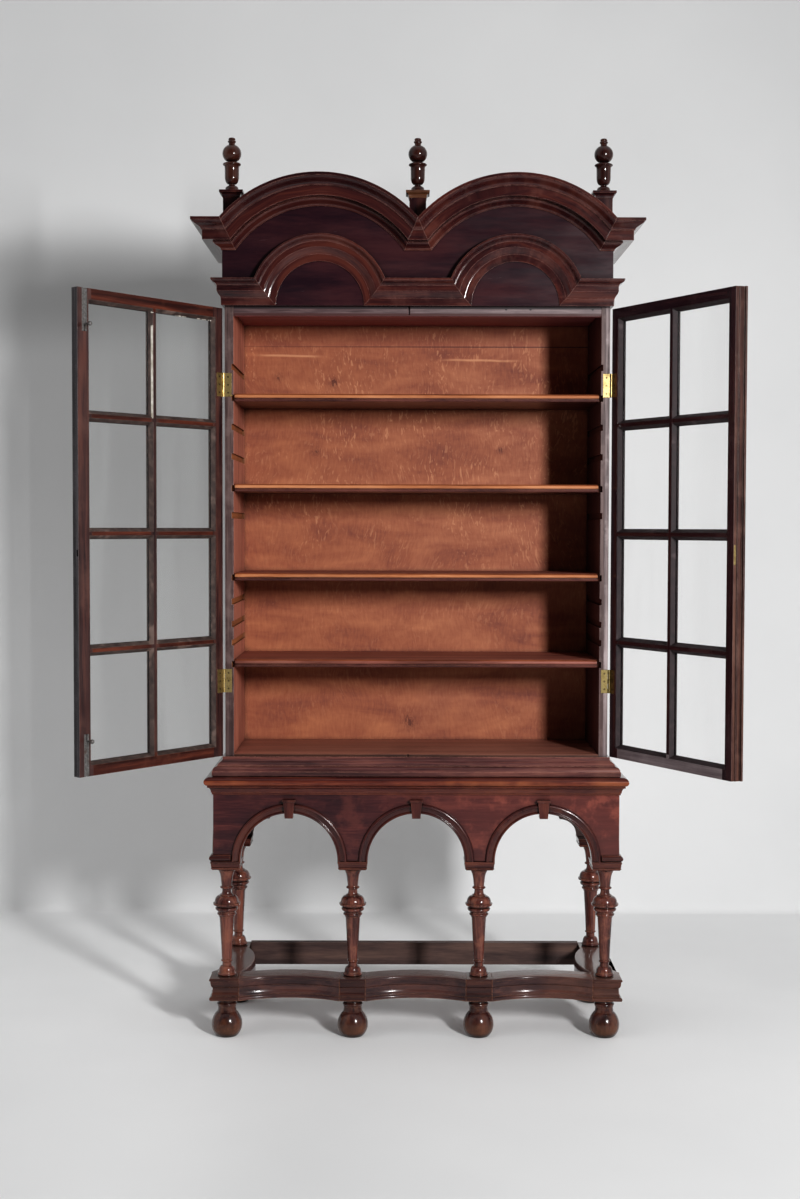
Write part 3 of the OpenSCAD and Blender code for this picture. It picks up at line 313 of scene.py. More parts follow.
def polished_wood(name, grain, dark, middle, rich, worn, patches=0.3, wear=0.8, rough=0.2, turn=0.0,
                  coat=0.35, streak=1.0, dust=0.0, low_gold=0.0, edge=0.0022, mottle=4.2, soot=0.018,
                  redder=None, shine=0.34):
    """Old polished wood. Grain is the axis it runs along, or UV where it follows a curved moulding.
    Its edges are worn to the worn colour, patches of it are faded, and its corners are darkened with dirt and
    painted shade.
    Turn is how far a door stands open, and redder the stretch along X over which patches grow."""
    tree, coords = new_finish(name, "UV" if grain == "UV" else "Object")
    turned = stretched(coords, (1, 1, 1), (0, 0, math.radians(turn)))
    lined = stretched(turned, grain_scale(grain, 0.55, 7.0 * streak))
    broad = noise(lined, 6.0, 4.0, 0.55, 0.35)
    fine = noise(lined, 46.0, 3.0, 0.6, 0.1)
    wood = colours(blend(broad, fine, 0.74), (0.36, 0.5, 0.63), (dark, middle, rich))

    cloud = noise(coords, mottle, 4.0, 0.62)
    faded = times(band(cloud, 0.48, 0.7), patches)
    if redder:
        faded = times(faded, between(coords, "X", *redder, 0.22, 0.9))
        faded = figure("ADD", faded, between(coords, "X", *redder, 0.0, 0.34))
    wood = mix_colours(faded, wood, [0.65 * r + 0.35 * w for r, w in zip(rich, worn)])
    if low_gold:
        gold = times(between(coords, "Z", 55, 15), low_gold)
        wood = mix_colours(gold, wood, (0.16, 0.065, 0.022))

    rounded, agrees = rounded_edges(tree, edge)
    in_the_open = openness(tree, soot)
    rubbed = noise(coords, 38.0, 3.0, 0.7)
    rub_mask = times(band(agrees, 0.99, 0.86), band(rubbed, 0.3, 0.56), band(in_the_open, 0.45, 0.85))
    wood = mix_colours(times(rub_mask, wear), wood, worn)
    # Dirt and painted shade: the wood is darkened in corners and recesses by the ambient occlusion.
    wood = soiled_and_shaded(wood, band(in_the_open, 0.28, 0.9, 0.14, 1.0), 0.97)
    if dust:
        upward = part_of(add(tree, "NewGeometry").outputs["Normal"], "Z")
        wood = mix_colours(times(band(upward, 0.75, 0.98), dust), wood, (0.27, 0.17, 0.14))

    smear = band(noise(lined, 9.0, 4.0, 0.65), 0.3, 0.72, rough - 0.03, rough + 0.05)
    set_surface(tree, {
        "Base Color": wood, "Roughness": figure("ADD", smear, times(rub_mask, 0.1)),
        "Normal": bumps(blend(fine, rubbed, 0.6), 0.1, 0.0004, rounded),
        "IOR": 1.45, "Specular IOR Level": shine,
        "Coat Weight": coat, "Coat Roughness": 0.1, "Coat IOR": 1.35})


def finish_piece(shape, name, body, materials, node=None, ease=0.0):
    """Makes a finished shape a piece of a body, in place of a node of the model if one is named.
    Its sharp edges are eased by that many millimetres."""
    sharp = math.radians(35)
    for edge in shape.edges:
        edge.smooth = len(edge.link_faces) == 2 and edge.calc_face_angle() < sharp
    piece = make_object(shape, name, materials)
    if ease:
        eased = piece.modifiers.new("eased_edges", "BEVEL")
        eased.width = ease / 1000
        eased.segments = 2
        eased.limit_method = "ANGLE"
        eased.angle_limit = sharp
        eased.harden_normals = True
        eased.use_clamp_overlap = True
    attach(piece, body)
    if node:
        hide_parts(node)


def bulge(p, q, out, steps=8):
    """Points of a bead, or of a hollow where out is negative, from p to q."""
    start = Vector(p)
    along = Vector(q) - start
    outward = Vector((along.y, -along.x)).normalized() * out * 4
    shares = [i / steps for i in range(steps + 1)]
    return [tuple(start + along * share + outward * share * (1 - share)) for share in shares]


def sweep_up(p, q, steps=8):
    """Points of a quarter round from p to q that leaves p upwards."""
    turns = [math.pi / 2 * i / steps for i in range(steps + 1)]
    return [(p[0] + (q[0] - p[0]) * (1 - math.cos(a)), p[1] + (q[1] - p[1]) * math.sin(a)) for a in turns]


def sweep_flat(p, q, steps=8):
    """Points of a quarter round from p to q that leaves p sideways."""
    return sweep_up(q, p, steps)[::-1]


def ball(radius, middle, reach, a0, a1, steps=14):
    """Points of a squat or tall ball, between two angles about its middle height."""
    widest = math.radians(max(abs(a0), abs(a1)))
    turns = [math.radians(a0 + (a1 - a0) * i / steps) for i in range(steps + 1)]
    return [(radius * math.cos(a), middle + reach * math.sin(a) / math.sin(widest)) for a in turns]


def turning(outline, x, y, z, steps=72):
    """Spins an outline of radii and heights, from its foot on the axis to its top on the axis."""
    shape = bmesh.new()
    points = [shape.verts.new((r / 1000, 0, h / 1000)) for r, h in outline]
    edges = [shape.edges.new(pair) for pair in zip(points, points[1:])]
    bmesh.ops.spin(
        shape, geom=points + edges, cent=(0, 0, 0), axis=(0, 0, 1), angle=2 * math.pi, steps=steps,
        use_merge=True)
    bmesh.ops.remove_doubles(shape, verts=shape.verts, dist=0.00001)
    bmesh.ops.recalc_face_normals(shape, faces=shape.faces)
    bmesh.ops.translate(shape, verts=shape.verts, vec=at(x, y, z))
    return shape


def stand_turnings(kind, outline, z):
    """The six feet or legs, turned to an outline and standing at height z."""
    for number, (x, y) in enumerate(leg_places, 1):
        node = f"{kind}_{number}"
        finish_piece(
            turning(outline, x, y, z), f"{node}_turning", "cabinet", [f"{kind}_wood"], node)


leg_pitch = 325
front_legs_y = 2.5
back_legs_y = front_legs_y + leg_pitch
leg_places = [(pitches * leg_pitch, front_legs_y) for pitches in (-1.5, -0.5, 0.5, 1.5)]
leg_places += [(pitches * leg_pitch, back_legs_y) for pitches in (-1.5, 1.5)]
polished_wood(
    "foot_wood", "Z", (0.0195, 0.0075, 0.0074), (0.049, 0.0178, 0.0152), (0.096, 0.037, 0.026),
    (0.18, 0.075, 0.034), patches=0.6, coat=0.5, low_gold=0.35, mottle=34.0)
foot_outline = [
    (0, 0), (25.2, 0), *ball(39.3, 29, 29, -47, 0), *ball(39.3, 29, 35, 0, 52)[1:],
    (23.4, 69), (22.7, 74), (22.7, 76), (24, 77), (24, 79.6), *bulge((23.9, 79.9), (23.9, 87.1), 2.2),
    (22, 90), *bulge((22, 91), (26.5, 97), -0.8, 5), (27, 98), (27, 99), (0, 99)]
stand_turnings("foot", foot_outline, 0)

# Stretchers. Moulded walnut blocks hold the legs to the feet. Flat bowed stretchers with a
# bead above and below run between them, and a plain board at the back.


def solid_copy(node):
    """The solid of a piece with its corners joined and its flat faces whole."""
    shape = bmesh.new()
    shape.from_mesh(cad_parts[node].data)
    bmesh.ops.remove_doubles(shape, verts=shape.verts, dist=0.00002)
    bmesh.ops.dissolve_limit(shape, angle_limit=math.radians(0.4), verts=shape.verts, edges=shape.edges)
    return shape


def place_of(face):
    """The middle of a face in millimetres from the middle of the case's front."""
    return (face.calc_center_median() - case_middle) * 1000


def lay_by(shape, rule):
    """Gives each face the material number that the rule names for its place and direction."""
    for face in shape.faces:
        face.material_index = int(rule(place_of(face), face.normal))


def dress(node, name, materials, ease=0.0, body="cabinet", rule=None):
    """Makes a piece of a node's solid. A rule lays its materials where there are several."""
    shape = solid_copy(node)
    if rule:
        lay_by(shape, rule)
    finish_piece(shape, name, body, materials, node, ease)


def wood_pair(name, *tones, **settings):
    """One wood with its grain along the front, and again with its grain along the sides."""
    polished_wood(name, "X", *tones, **settings)
    polished_wood("side_" + name, "Y", *tones, **settings)


wood_pair(
    "stretcher_wood", (0.0245, 0.0125, 0.0135), (0.052, 0.0245, 0.0235), (0.095, 0.041, 0.033),
    (0.39, 0.17, 0.09), wear=0.85, dust=0.25)
polished_wood(
    "block_wood", "X", (0.018, 0.0075, 0.008), (0.04, 0.015, 0.013), (0.075, 0.028, 0.02),
    (0.34, 0.13, 0.06), patches=0.35, wear=0.9, dust=0.2, streak=1.4)
polished_wood(
    "plain_board_wood", "X", (0.038, 0.024, 0.022), (0.074, 0.045, 0.039), (0.125, 0.077, 0.06),
    (0.22, 0.13, 0.09), patches=0.25, wear=0.4, rough=0.5, coat=0.0)
dress("front_stretchers", "front_stretcher_set", ["stretcher_wood"], 0.7)
dress("side_stretchers", "side_stretcher_pair", ["side_stretcher_wood"], 0.7)
dress("stretcher_blocks", "moulded_blocks", ["block_wood"], 0.7)
dress("rear_stretcher", "rear_stretcher_board", ["plain_board_wood"], 0.8)

# Legs. Six turned legs of the same stained wood: a base of rings, a tapered shaft, a cup
# with a collar above it and a neck that goes into the capital.
polished_wood(
    "leg_wood", "Z", (0.024, 0.0075, 0.0072), (0.096, 0.0315, 0.024), (0.195, 0.071, 0.047),
    (0.36, 0.155, 0.08), patches=0.45, wear=0.9, rough=0.17, coat=0.5, streak=1.8, edge=0.0016, mottle=30.0,
    soot=0.013)
leg_outline = [
    (0, 0), (22.5, 0), *bulge((22.7, 1.2), (22.7, 7.8), 2.0), (21.5, 9), (21.5, 11),
    *sweep_up((21, 11), (12, 26)), (11.8, 30), (11.8, 35), *bulge((12.4, 36.2), (12.4, 41.8), 2.8),
    (12.4, 43.4), (13.2, 44), (14.6, 80), (16.9, 120), (19, 154), (20.5, 154), (20.5, 157),
    *bulge((22.4, 157.6), (22.4, 164.4), 2.3), (22.5, 165), (22.5, 168),
    *bulge((25.2, 168.8), (25.2, 180.2), 4.2, 10), (27, 181), (27, 183), (33.8, 184), (34.8, 186),
    (34.8, 189), (31.8, 190), *sweep_up((31.3, 190), (19, 208), 12), (17.3, 208), (17.3, 211),
    *sweep_flat((16, 211), (11.6, 222)), (11.6, 226), *bulge((13.9, 226.2), (13.9, 232.8), 3.4),
    (13.4, 234), (13.6, 236), (13.9, 240), (15.0, 250), (16.1, 258), (18, 266), (20.6, 271.6),
    (20.6, 273), *bulge((21.2, 273.2), (21.2, 279.8), 2.8), (0, 280)]
leg_foot_z = 156
stand_turnings("leg", leg_outline, leg_foot_z)

# Capitals and collars. Square moulded capitals are pinned on the legs, and a half-round
# collar runs round each corner of the aprons above them.
polished_wood(
    "capital_wood", "X", (0.024, 0.007, 0.007), (0.058, 0.016, 0.013), (0.11, 0.034, 0.022),
    (0.28, 0.1, 0.05), patches=0.35, wear=0.9, coat=0.4, streak=1.3)
dress("capitals", "capital_set", ["capital_wood"], 0.5)

# Aprons. Thick boards faced with dark veneer, sawn out in round arches at the front and at
# the sides. The red of the wood shows in patches, most of all at the right end.
apron_tones = ((0.021, 0.0065, 0.0095), (0.049, 0.0125, 0.014), (0.105, 0.029, 0.024), (0.36, 0.105, 0.068))
apron_polish = dict(wear=0.45, rough=0.22, streak=0.8, soot=0.03)
polished_wood(
    "apron_veneer", "X", *apron_tones, **apron_polish, patches=0.95, mottle=17.0, redder=(-300, 430))
polished_wood("side_apron_veneer", "Y", *apron_tones, **apron_polish, patches=0.6, mottle=24.0)
dress("front_apron", "front_arcade", ["apron_veneer"], 0.6)
dress("side_aprons", "side_arcades", ["side_apron_veneer"], 0.6)
dress("rear_apron", "rear_apron_board", ["plain_board_wood"], 0.8)
dress("rear_brackets", "rear_bracket_pair", ["plain_board_wood"], 0.8)

# Arch mouldings and keystones. A moulded band is glued round each arch, with its grain
# following the curve, and a small keystone with a lip sits at its top.


def wrap_grain(shape, middle_of):
    """Lays a UV map round an arch: the way round it against the distance from its centre."""
    layer = shape.loops.layers.uv.new("along")
    for face in shape.faces:
        middle, centre_z, in_side = middle_of(place_of(face))
        for loop in face.loops:
            p = (loop.vert.co - case_middle) * 1000
            sideways, depth = (p.y, p.x) if in_side else (p.x, p.y)
            reach = math.hypot(sideways - middle, p.z - centre_z)
            turned = math.atan2(p.z - centre_z, sideways - middle)
            way_round = turned * (middle * 0.001 + 0.15) + middle * 0.01
            loop[layer].uv = (way_round, (reach + 0.7 * depth) / 1000)


arch_z = 458.0
side_arch_y = 165.0
side_apron_x = 505


def stand_arch_centre(spot):
    """Centre of the stand's arch that a spot belongs to, and whether it is in a side."""
    if abs(spot.x) > side_apron_x:
        return side_arch_y, arch_z, True
    return round(spot.x / leg_pitch) * leg_pitch, arch_z, False


polished_wood(
    "arch_wood", "UV", (0.02, 0.0055, 0.0065), (0.048, 0.011, 0.01), (0.09, 0.024, 0.015),
    (0.2, 0.075, 0.045), wear=0.6, rough=0.23, coat=0.6)
arches = solid_copy("arch_mouldings")
wrap_grain(arches, stand_arch_centre)
finish_piece(arches, "arch_moulding_set", "cabinet", ["arch_wood"], "arch_mouldings", 0.4)
polished_wood(
    "keystone_wood", "Z", (0.026, 0.008, 0.007), (0.062, 0.016, 0.013), (0.11, 0.032, 0.02),
    (0.24, 0.11, 0.08), rough=0.22, coat=0.3)
dress("keystones", "keystone_set", ["keystone_wood"], 0.5)

# Stand moulding. A bold half-round runs round the top of the stand, over a hollow, and is
# rubbed to a bright orange red along its crest.
wood_pair(
    "torus_wood", (0.028, 0.007, 0.007), (0.066, 0.015, 0.012), (0.115, 0.032, 0.019), (0.36, 0.12, 0.05),
    wear=0.7, coat=0.4)
wood_pair(
    "crest_wood", (0.045, 0.01, 0.008), (0.105, 0.024, 0.014), (0.21, 0.055, 0.024), (0.5, 0.19, 0.07),
    patches=0.75, wear=0.6, rough=0.25, coat=0.2, streak=0.7)


def mitred(corner_x, corner_y):
    """A rule for a moulding that turns a corner: 0 at the front and 1 at the sides."""
    return lambda spot, normal: abs(spot.x) - corner_x > corner_y - spot.y


crest_low, crest_high = 652, 668
crest_x, crest_y = 534, -44
at_stand_side = mitred(519, -29)


def stand_moulding_rule(spot, normal):
    """The same for the stand moulding, with 2 more along the crest of its half-round."""
    on_crest = crest_low < spot.z < crest_high and (abs(spot.x) > crest_x or spot.y < crest_y)
    return at_stand_side(spot, normal) + (2 if on_crest else 0)


dress(
    "stand_moulding", "stand_moulding_run",
    ["torus_wood", "side_torus_wood", "crest_wood", "side_crest_wood"], 0.5,
    rule=stand_moulding_rule)

# Base moulding. A stepped wave moulding round the foot of the case, mitred at the corners.
# Its many edges are rubbed pale, and its steps are darkened with dirt and painted shade.
wood_pair(
    "base_wood", (0.04, 0.0168, 0.0168), (0.098, 0.0375, 0.034), (0.175, 0.07, 0.055), (0.52, 0.26, 0.17),
    wear=1.0, coat=0.4, streak=1.6, edge=0.0015, soot=0.012)
dress("base_moulding", "base_moulding_run", ["base_wood", "side_base_wood"], 0.5, rule=mitred(490, 0))

# Case sides. Pine boards with dark veneer outside and a bare warm brown inside, grooved for
# the shelves. The right one's inside is painted near black as painted shade. Their front edges
# are worn, the right one to a pale line where the door shuts.


def bare_wood(name, grain, dark, middle, pale, flecks=0.25, rough=0.55, wear=0.3, worn=(0.5, 0.26, 0.13)):
    """Bare old boards: long growth lines, short pale flecks and stains."""
    tree, coords = new_finish(name)
    lined = stretched(coords, grain_scale(grain, 0.4, 8.0))
    broad = noise(lined, 4.0, 5.0, 0.55, 0.6)
    fine = noise(lined, 40.0, 3.0, 0.6)
    growth = blend(broad, fine, 0.6)
    wood = colours(growth, (0.34, 0.5, 0.64), (dark, middle, pale))
    fleck = noise(stretched(coords, grain_scale(grain, 2.0, 11.2)), 26.0)
    wood = mix_colours(times(band(fleck, 0.56, 0.68), flecks), wood, worn)
    stain = band(noise(coords, 3.0, 4.0, 0.6), 0.5, 0.3)
    wood = mix_colours(times(stain, 0.35), wood, [c * 0.45 for c in dark])
    # Dirt and painted shade: the boards are darkened in corners by the ambient occlusion.
    wood = soiled_and_shaded(wood, band(openness(tree, 0.03), 0.2, 0.75, 0.42, 1.0))
    rounded, agrees = rounded_edges(tree, 0.0015)
    wood = mix_colours(times(band(agrees, 0.985, 0.8), wear), wood, worn)
    set_surface(tree, {
        "Base Color": wood, "Roughness": band(fine, 0.3, 0.7, rough - 0.08, rough + 0.12),
        "Normal": bumps(growth, 0.3, 0.0012, rounded), "IOR": 1.45, "Specular IOR Level": 0.35})


polished_wood(
    "side_veneer", "Z", (0.014, 0.004, 0.006), (0.03, 0.007, 0.008), (0.055, 0.014, 0.012),
    (0.14, 0.045, 0.028), wear=0.4, rough=0.23, coat=0.3, streak=0.8)
polished_wood(
    "worn_edge", "Z", (0.032, 0.016, 0.015), (0.08, 0.047, 0.043), (0.14, 0.092, 0.082), (0.34, 0.26, 0.24),
    patches=0.45, wear=0.7, rough=0.45, coat=0.0, streak=3.0, mottle=16.0)
polished_wood(
    "pale_edge", "Z", (0.055, 0.038, 0.037), (0.22, 0.172, 0.165), (0.36, 0.3, 0.29), (0.5, 0.44, 0.42),
    patches=0.5, wear=0.5, rough=0.5, coat=0.0, streak=3.0, mottle=20.0)
bare_wood("inner_wall", "Z", (0.22, 0.074, 0.052), (0.39, 0.135, 0.094), (0.5, 0.21, 0.142))
# The right side's inner face and its grooves are painted near black: painted shade.
bare_wood(
    "painted_shade_wall", "Z", (0.034, 0.011, 0.014), (0.06, 0.018, 0.02), (0.095, 0.029, 0.028), flecks=0.1,
    worn=(0.2, 0.085, 0.06))
bare_wood("groove_wood", "Y", (0.16, 0.055, 0.022), (0.3, 0.105, 0.04), (0.42, 0.16, 0.06), flecks=0.2)
inside_x, outside_x = 468.6, 488
front_edge_y, groove_end_y = 3, 324
groove_foot_z, groove_top_z = 700, 1860
shut_line_x = 479.2


def cut_across(shape, point, normal):
    """Cuts the faces of a shape along a plane."""
    bmesh.ops.bisect_plane(
        shape, geom=shape.verts[:] + shape.edges[:] + shape.faces[:], plane_co=point, plane_no=normal,
        dist=0.00001)


def case_side_rule(spot, normal):
    """0 outside, 1 or 4 on the front edge, 2 on the inner face and 3 in the grooves of a case side."""
    away = abs(spot.x)
    if normal.x * math.copysign(1, spot.x) > 0.5 and away > outside_x:
        return 0
    if normal.y < -0.5 and spot.y < front_edge_y:
        return 4 if spot.x > shut_line_x else 1
    if inside_x < away < outside_x and 2 < spot.y < groove_end_y and groove_foot_z < spot.z < groove_top_z:
        return 3
    return 2 if abs(normal.x) > 0.5 else 0


bare_faces = (("left", "inner_wall", "groove_wood"), ("right", "painted_shade_wall", "painted_shade_wall"))
for side, inner_face, grooves in bare_faces:
    board = solid_copy(f"case_side_{side}")
    cut_across(board, at(shut_line_x, 0, 0), (1, 0, 0))
    lay_by(board, case_side_rule)
    finish_piece(
        board, f"{side}_case_side_board", "cabinet",
        ["side_veneer", "worn_edge", inner_face, grooves, "pale_edge"], f"case_side_{side}", 0.8)

# Inside of the case. The floor, the ceiling and the five back boards are bare, warm brown
# boards with long grain, and the top rail in front of the ceiling is scuffed and grey, with a
# painted shadow of the hood along its top.


def vectors(operation, a, b):
    """A vector worked out from two others."""
    return add(a.id_data, "VectorMath", {0: a, 1: b}, operation=operation).outputs[0]


def distance_from(coords, x, y, z):
    """The distance in metres from a place that is given in millimetres."""
    point = tuple(at(x, y, z))
    return add(coords.id_data, "VectorMath", {0: coords, 1: point}, operation="DISTANCE").outputs["Value"]


def off_level(coords, z):
    """The distance in metres above or below a level that is given in millimetres."""
    return figure("ABSOLUTE", figure("SUBTRACT", part_of(coords, "Z"), at(0, 0, z).z))


def quartered_oak(name, shadow, middle, light, fleck, knots, streaks, joint_z):
    """Quarter-sawn oak boards that run along X. Fine rays cross the grain, and broken pale
    flecks bend round the knots. A streak is a pale band of x0, x1 and z."""
    tree, coords = new_finish(name)

    def darker(factor, wood, red, green, blue):
        """The wood with a share of its shadow colour over it, which those figures tint."""
        tint = [c * share for c, share in zip(shadow, (red, green, blue))]
        return mix_colours(factor, wood, tint)

    wander = noise(coords, 4.5, 2.0, 0.45, result="Color")
    moved = vectors("SUBTRACT", wander, (0.5, 0.5, 0.5))
    moved = vectors("MULTIPLY", moved, (0.1, 0.0, 0.1))
    bent = vectors("ADD", coords, moved)
    growth = noise(stretched(coords, (1.6, 1.0, 5.0)), 3.0, 5.0, 0.6, 0.4)
    rays = noise(stretched(bent, (1.0, 1.0, 0.2)), 190.0)
    grain = blend(growth, rays, 0.76)
    wood = colours(grain, (0.28, 0.48, 0.66), (shadow, middle, light))

    ribbon = noise(stretched(bent, (1.0, 1.0, 0.28), (0, 0.35, 0)), 130.0, 1.5, 0.5, 1.4)
    lively = times(
        band(noise(coords, 9.0), 0.4, 0.62, 0.12, 0.6), between(coords, "Z", 1000, 1450, 0.3, 1.0))
    wood = mix_colours(times(band(ribbon, 0.57, 0.66), lively), wood, fleck)
    wavy = vectors("ADD", coords, vectors("MULTIPLY", moved, (0.2, 0.2, 0.2)))
    fade = 60
    for x0, x1, z in streaks:
        along = times(between(wavy, "X", x0, x0 + fade), between(wavy, "X", x1, x1 - fade))
        pale = times(along, band(off_level(wavy, z), 0.0045, 0.001), band(growth, 0.3, 0.5, 0.3, 0.9))
        wood = mix_colours(pale, wood, fleck)

    stain = noise(coords, 3.2, 4.0, 0.6)
    wood = darker(band(stain, 0.52, 0.3, 0.0, 0.22), wood, 0.7, 0.62, 0.95)
    wood = darker(between(coords, "Z", joint_z - 1, joint_z + 1, 0.0, 0.14), wood, 0.9, 0.75, 1.1)
    gap_dirt = times(
        band(off_level(coords, joint_z), 0.0022, 0.0008), between(wavy, "X", -460, 200, 0.3, 0.75))
    wood = darker(gap_dirt, wood, 0.25, 0.22, 0.35)
    for x, y, z, size in knots:
        ragged = times(figure("SUBTRACT", ribbon, 0.5), size * 4.5)
        away = figure("ADD", distance_from(coords, x, y, z), ragged)
        ring = figure("SINE", times(away, 6.0 / size))
        halo = times(band(away, size * 3.4, size * 0.6), band(ring, -0.7, 0.8, 0.06, 0.34))
        wood = darker(halo, wood, 0.55, 0.5, 0.6)
        wood = darker(band(away, size * 1.1, size * 0.2, 0.0, 0.62), wood, 0.35, 0.3, 0.4)
    # Dirt and painted shade: the oak is darkened in corners by the ambient occlusion.
    wood = soiled_and_shaded(wood, band(openness(tree, 0.02), 0.25, 0.75, 0.35, 1.0))
    set_surface(tree, {
        "Base Color": wood, "Roughness": band(grain, 0.35, 0.65, 0.62, 0.5),
        "Normal": bumps(blend(rays, ribbon, 0.5), 0.18, 0.001),
        "IOR": 1.45, "Specular IOR Level": 0.3})


back_y = 314
knots = [(x, back_y, z, size) for x, z, size in (
    (-376, 1719, 0.0075), (-225, 1703, 0.008), (-272, 1518, 0.007), (232, 1523, 0.006), (-15, 776, 0.013))]
quartered_oak(
    "back_wood", (0.19, 0.056, 0.04), (0.33, 0.108, 0.056), (0.44, 0.163, 0.08), (0.6, 0.28, 0.15), knots,
    streaks=((50, 300, 1769), (-450, -240, 1780)), joint_z=1803)
bare_wood("floor_wood", "X", (0.19, 0.072, 0.054), (0.325, 0.13, 0.095), (0.45, 0.185, 0.132), rough=0.5)
bare_wood("ceiling_wood", "X", (0.19, 0.056, 0.06), (0.29, 0.088, 0.094), (0.38, 0.13, 0.13), flecks=0.2)
bare_wood(
    "outer_board", "X", (0.04, 0.026, 0.017), (0.075, 0.05, 0.033), (0.12, 0.082, 0.055), flecks=0.2,
    rough=0.75, worn=(0.2, 0.15, 0.1))
polished_wood(
    "floor_front", "X", (0.045, 0.018, 0.013), (0.085, 0.032, 0.02), (0.13, 0.05, 0.03), (0.26, 0.13, 0.08),
    patches=0.4, rough=0.4, coat=0.1)


def on_front(spot, normal):
    """1 on faces towards the room, and 0 on the others."""
    return normal.y < -0.5


dress(
    "back_boards", "back_board_set", ["back_wood", "outer_board"], 1.0,
    rule=lambda spot, normal: normal.y > 0.5)
dress(
    "case_floor", "case_floor_board", ["floor_wood", "floor_front"], 0.8,
    rule=on_front)
dress("case_top", "case_ceiling_board", ["ceiling_wood"], 0.8)

tree, coords = new_finish("rail_front")
rail_low, rail_high = [corner.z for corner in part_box("top_rail")]
rail_height = rail_high - rail_low
nails = ((225, 1866), (287, 1866), (445, 1866))
scuff = noise(stretched(coords, (1.0, 6.0, 14.0)), 14.0, 5.0, 0.65)
brown = ((0.045, 0.022, 0.023), (0.088, 0.05, 0.052), (0.16, 0.1, 0.1))
grey = ((0.085, 0.055, 0.06), (0.165, 0.12, 0.122), (0.27, 0.21, 0.21))
brown, grey = [colours(scuff, (0.3, 0.5, 0.72), tones) for tones in (brown, grey)]
paint = mix_colours(between(coords, "X", -330, 330), brown, grey)
# Two dark bands run along the rail: at the top a painted shadow under the hood, at the bottom a red-brown
# band.
for start, end, dark_line in ((0.36, 0.24, (0.06, 0.018, 0.017)), (0.7, 0.82, (0.016, 0.008, 0.009))):
    line = band(part_of(coords, "Z"), rail_low + start * rail_height, rail_low + end * rail_height)
    paint = mix_colours(line, paint, dark_line)
for x, z in nails:
    nail = band(distance_from(coords, x, 0, z), 0.0036, 0.0018)
    paint = mix_colours(nail, paint, (0.012, 0.009, 0.009))
set_uneven_surface(tree, paint, scuff, (0.42, 0.58), (0.2, 0.0008), specular=0.35)
dress("top_rail", "top_rail_board", ["ceiling_wood", "rail_front"], 0.8, rule=on_front)

# Shelves. Four loose pine shelves slide in the grooves. Their noses are moulded with a bead
# and a flat, and are browner than the tops, which are dry and dusty. Their undersides and the
# foot of their noses are darkened as painted shade.
bare_wood("shelf_wood", "X", (0.18, 0.056, 0.041), (0.305, 0.094, 0.068), (0.42, 0.14, 0.1), wear=0.5)
polished_wood(
    "top_line_wood", "X", (0.09, 0.02, 0.008), (0.19, 0.048, 0.016), (0.29, 0.08, 0.026),
    (0.42, 0.17, 0.075), wear=0.5, rough=0.4, coat=0.1)
polished_wood(
    "bead_wood", "X", (0.26, 0.09, 0.036), (0.4, 0.155, 0.062), (0.52, 0.23, 0.105), (0.64, 0.34, 0.18),
    patches=0.4, wear=0.7, rough=0.38, coat=0.1)
polished_wood(
    "red_bead_wood", "X", (0.11, 0.034, 0.022), (0.22, 0.075, 0.052), (0.32, 0.125, 0.092),
    (0.55, 0.3, 0.2), patches=0.35, wear=0.7, rough=0.34, coat=0.2)
# The wood under the shelves is darkened as painted shade.
polished_wood(
    "painted_shade_under_wood", "X", (0.034, 0.009, 0.0085), (0.07, 0.02, 0.017), (0.12, 0.038, 0.029), (0.3, 0.12, 0.07),
    patches=0.35, rough=0.36, coat=0.1)
nose_back_y = 21
top_line_foot = 16
bead_foot = 9


def shelf_rule(foot):
    """0 on top of a shelf, 1 and 2 on the top line and bead of its nose, and 3 under them, which is darkened
    as painted shade.
    """
    def rule(spot, normal):
        if normal.z < -0.9:
            return 3
        if normal.z > 0.9 or spot.y > nose_back_y:
            return 0
        if spot.z - foot > top_line_foot:
            return 1
        return 2 if spot.z - foot > bead_foot else 3
    return rule


for number, nose_wood in enumerate(("red_bead_wood", "bead_wood", "bead_wood", "bead_wood"), 1):
    shelf = f"shelf_{number}"
    dress(shelf, f"{shelf}_board", ["shelf_wood", "top_line_wood", nose_wood, "painted_shade_under_wood"], 0.6,
          body=shelf, rule=shelf_rule(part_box(shelf)[0].z * 1000))

# Doors. Each is a frame of two stiles and two rails with moulded inner edges, turned on two
# butt hinges. A door's own measures run from its hinge pins: u along it, y away from its
# outer face towards the inner one, which is y = 0, and z up.
pin_x = 493.5
pin_y = -1
into_metres = Matrix.Scale(0.001, 4)
mirrored = Matrix.Scale(-1, 4, (1, 0, 0))
left_open = Matrix.Rotation(math.radians(-127), 4, "Z")
right_open = Matrix.Rotation(math.radians(118), 4, "Z")
left_door = Matrix.Translation(at(-pin_x, pin_y, 0)) @ left_open @ into_metres
right_door = Matrix.Translation(at(pin_x, pin_y, 0)) @ right_open @ mirrored @ into_metres
door_u0, door_u1 = 3.5, 492.7
door_z0, door_z1 = 725.5, 1866.5
stile = 34
bar = 27
meeting_face = 8
foot_rail = 40
left_tones = ((0.018, 0.0086, 0.009), (0.047, 0.0205, 0.0185), (0.094, 0.038, 0.029), (0.24, 0.125, 0.092))
left_rail_tones = (
    (0.025, 0.0085, 0.0068), (0.064, 0.019, 0.013), (0.125, 0.037, 0.021), (0.3, 0.125, 0.08))
right_tones = ((0.01, 0.0033, 0.0062), (0.021, 0.007, 0.0105), (0.04, 0.015, 0.0165), (0.16, 0.105, 0.1))
polished_wood(
    "left_meeting_edge", "Z", (0.02, 0.017, 0.019), (0.044, 0.039, 0.042), (0.08, 0.072, 0.077),
    (0.24, 0.22, 0.23), rough=0.4, coat=0.1, streak=2.5, mottle=20.0)
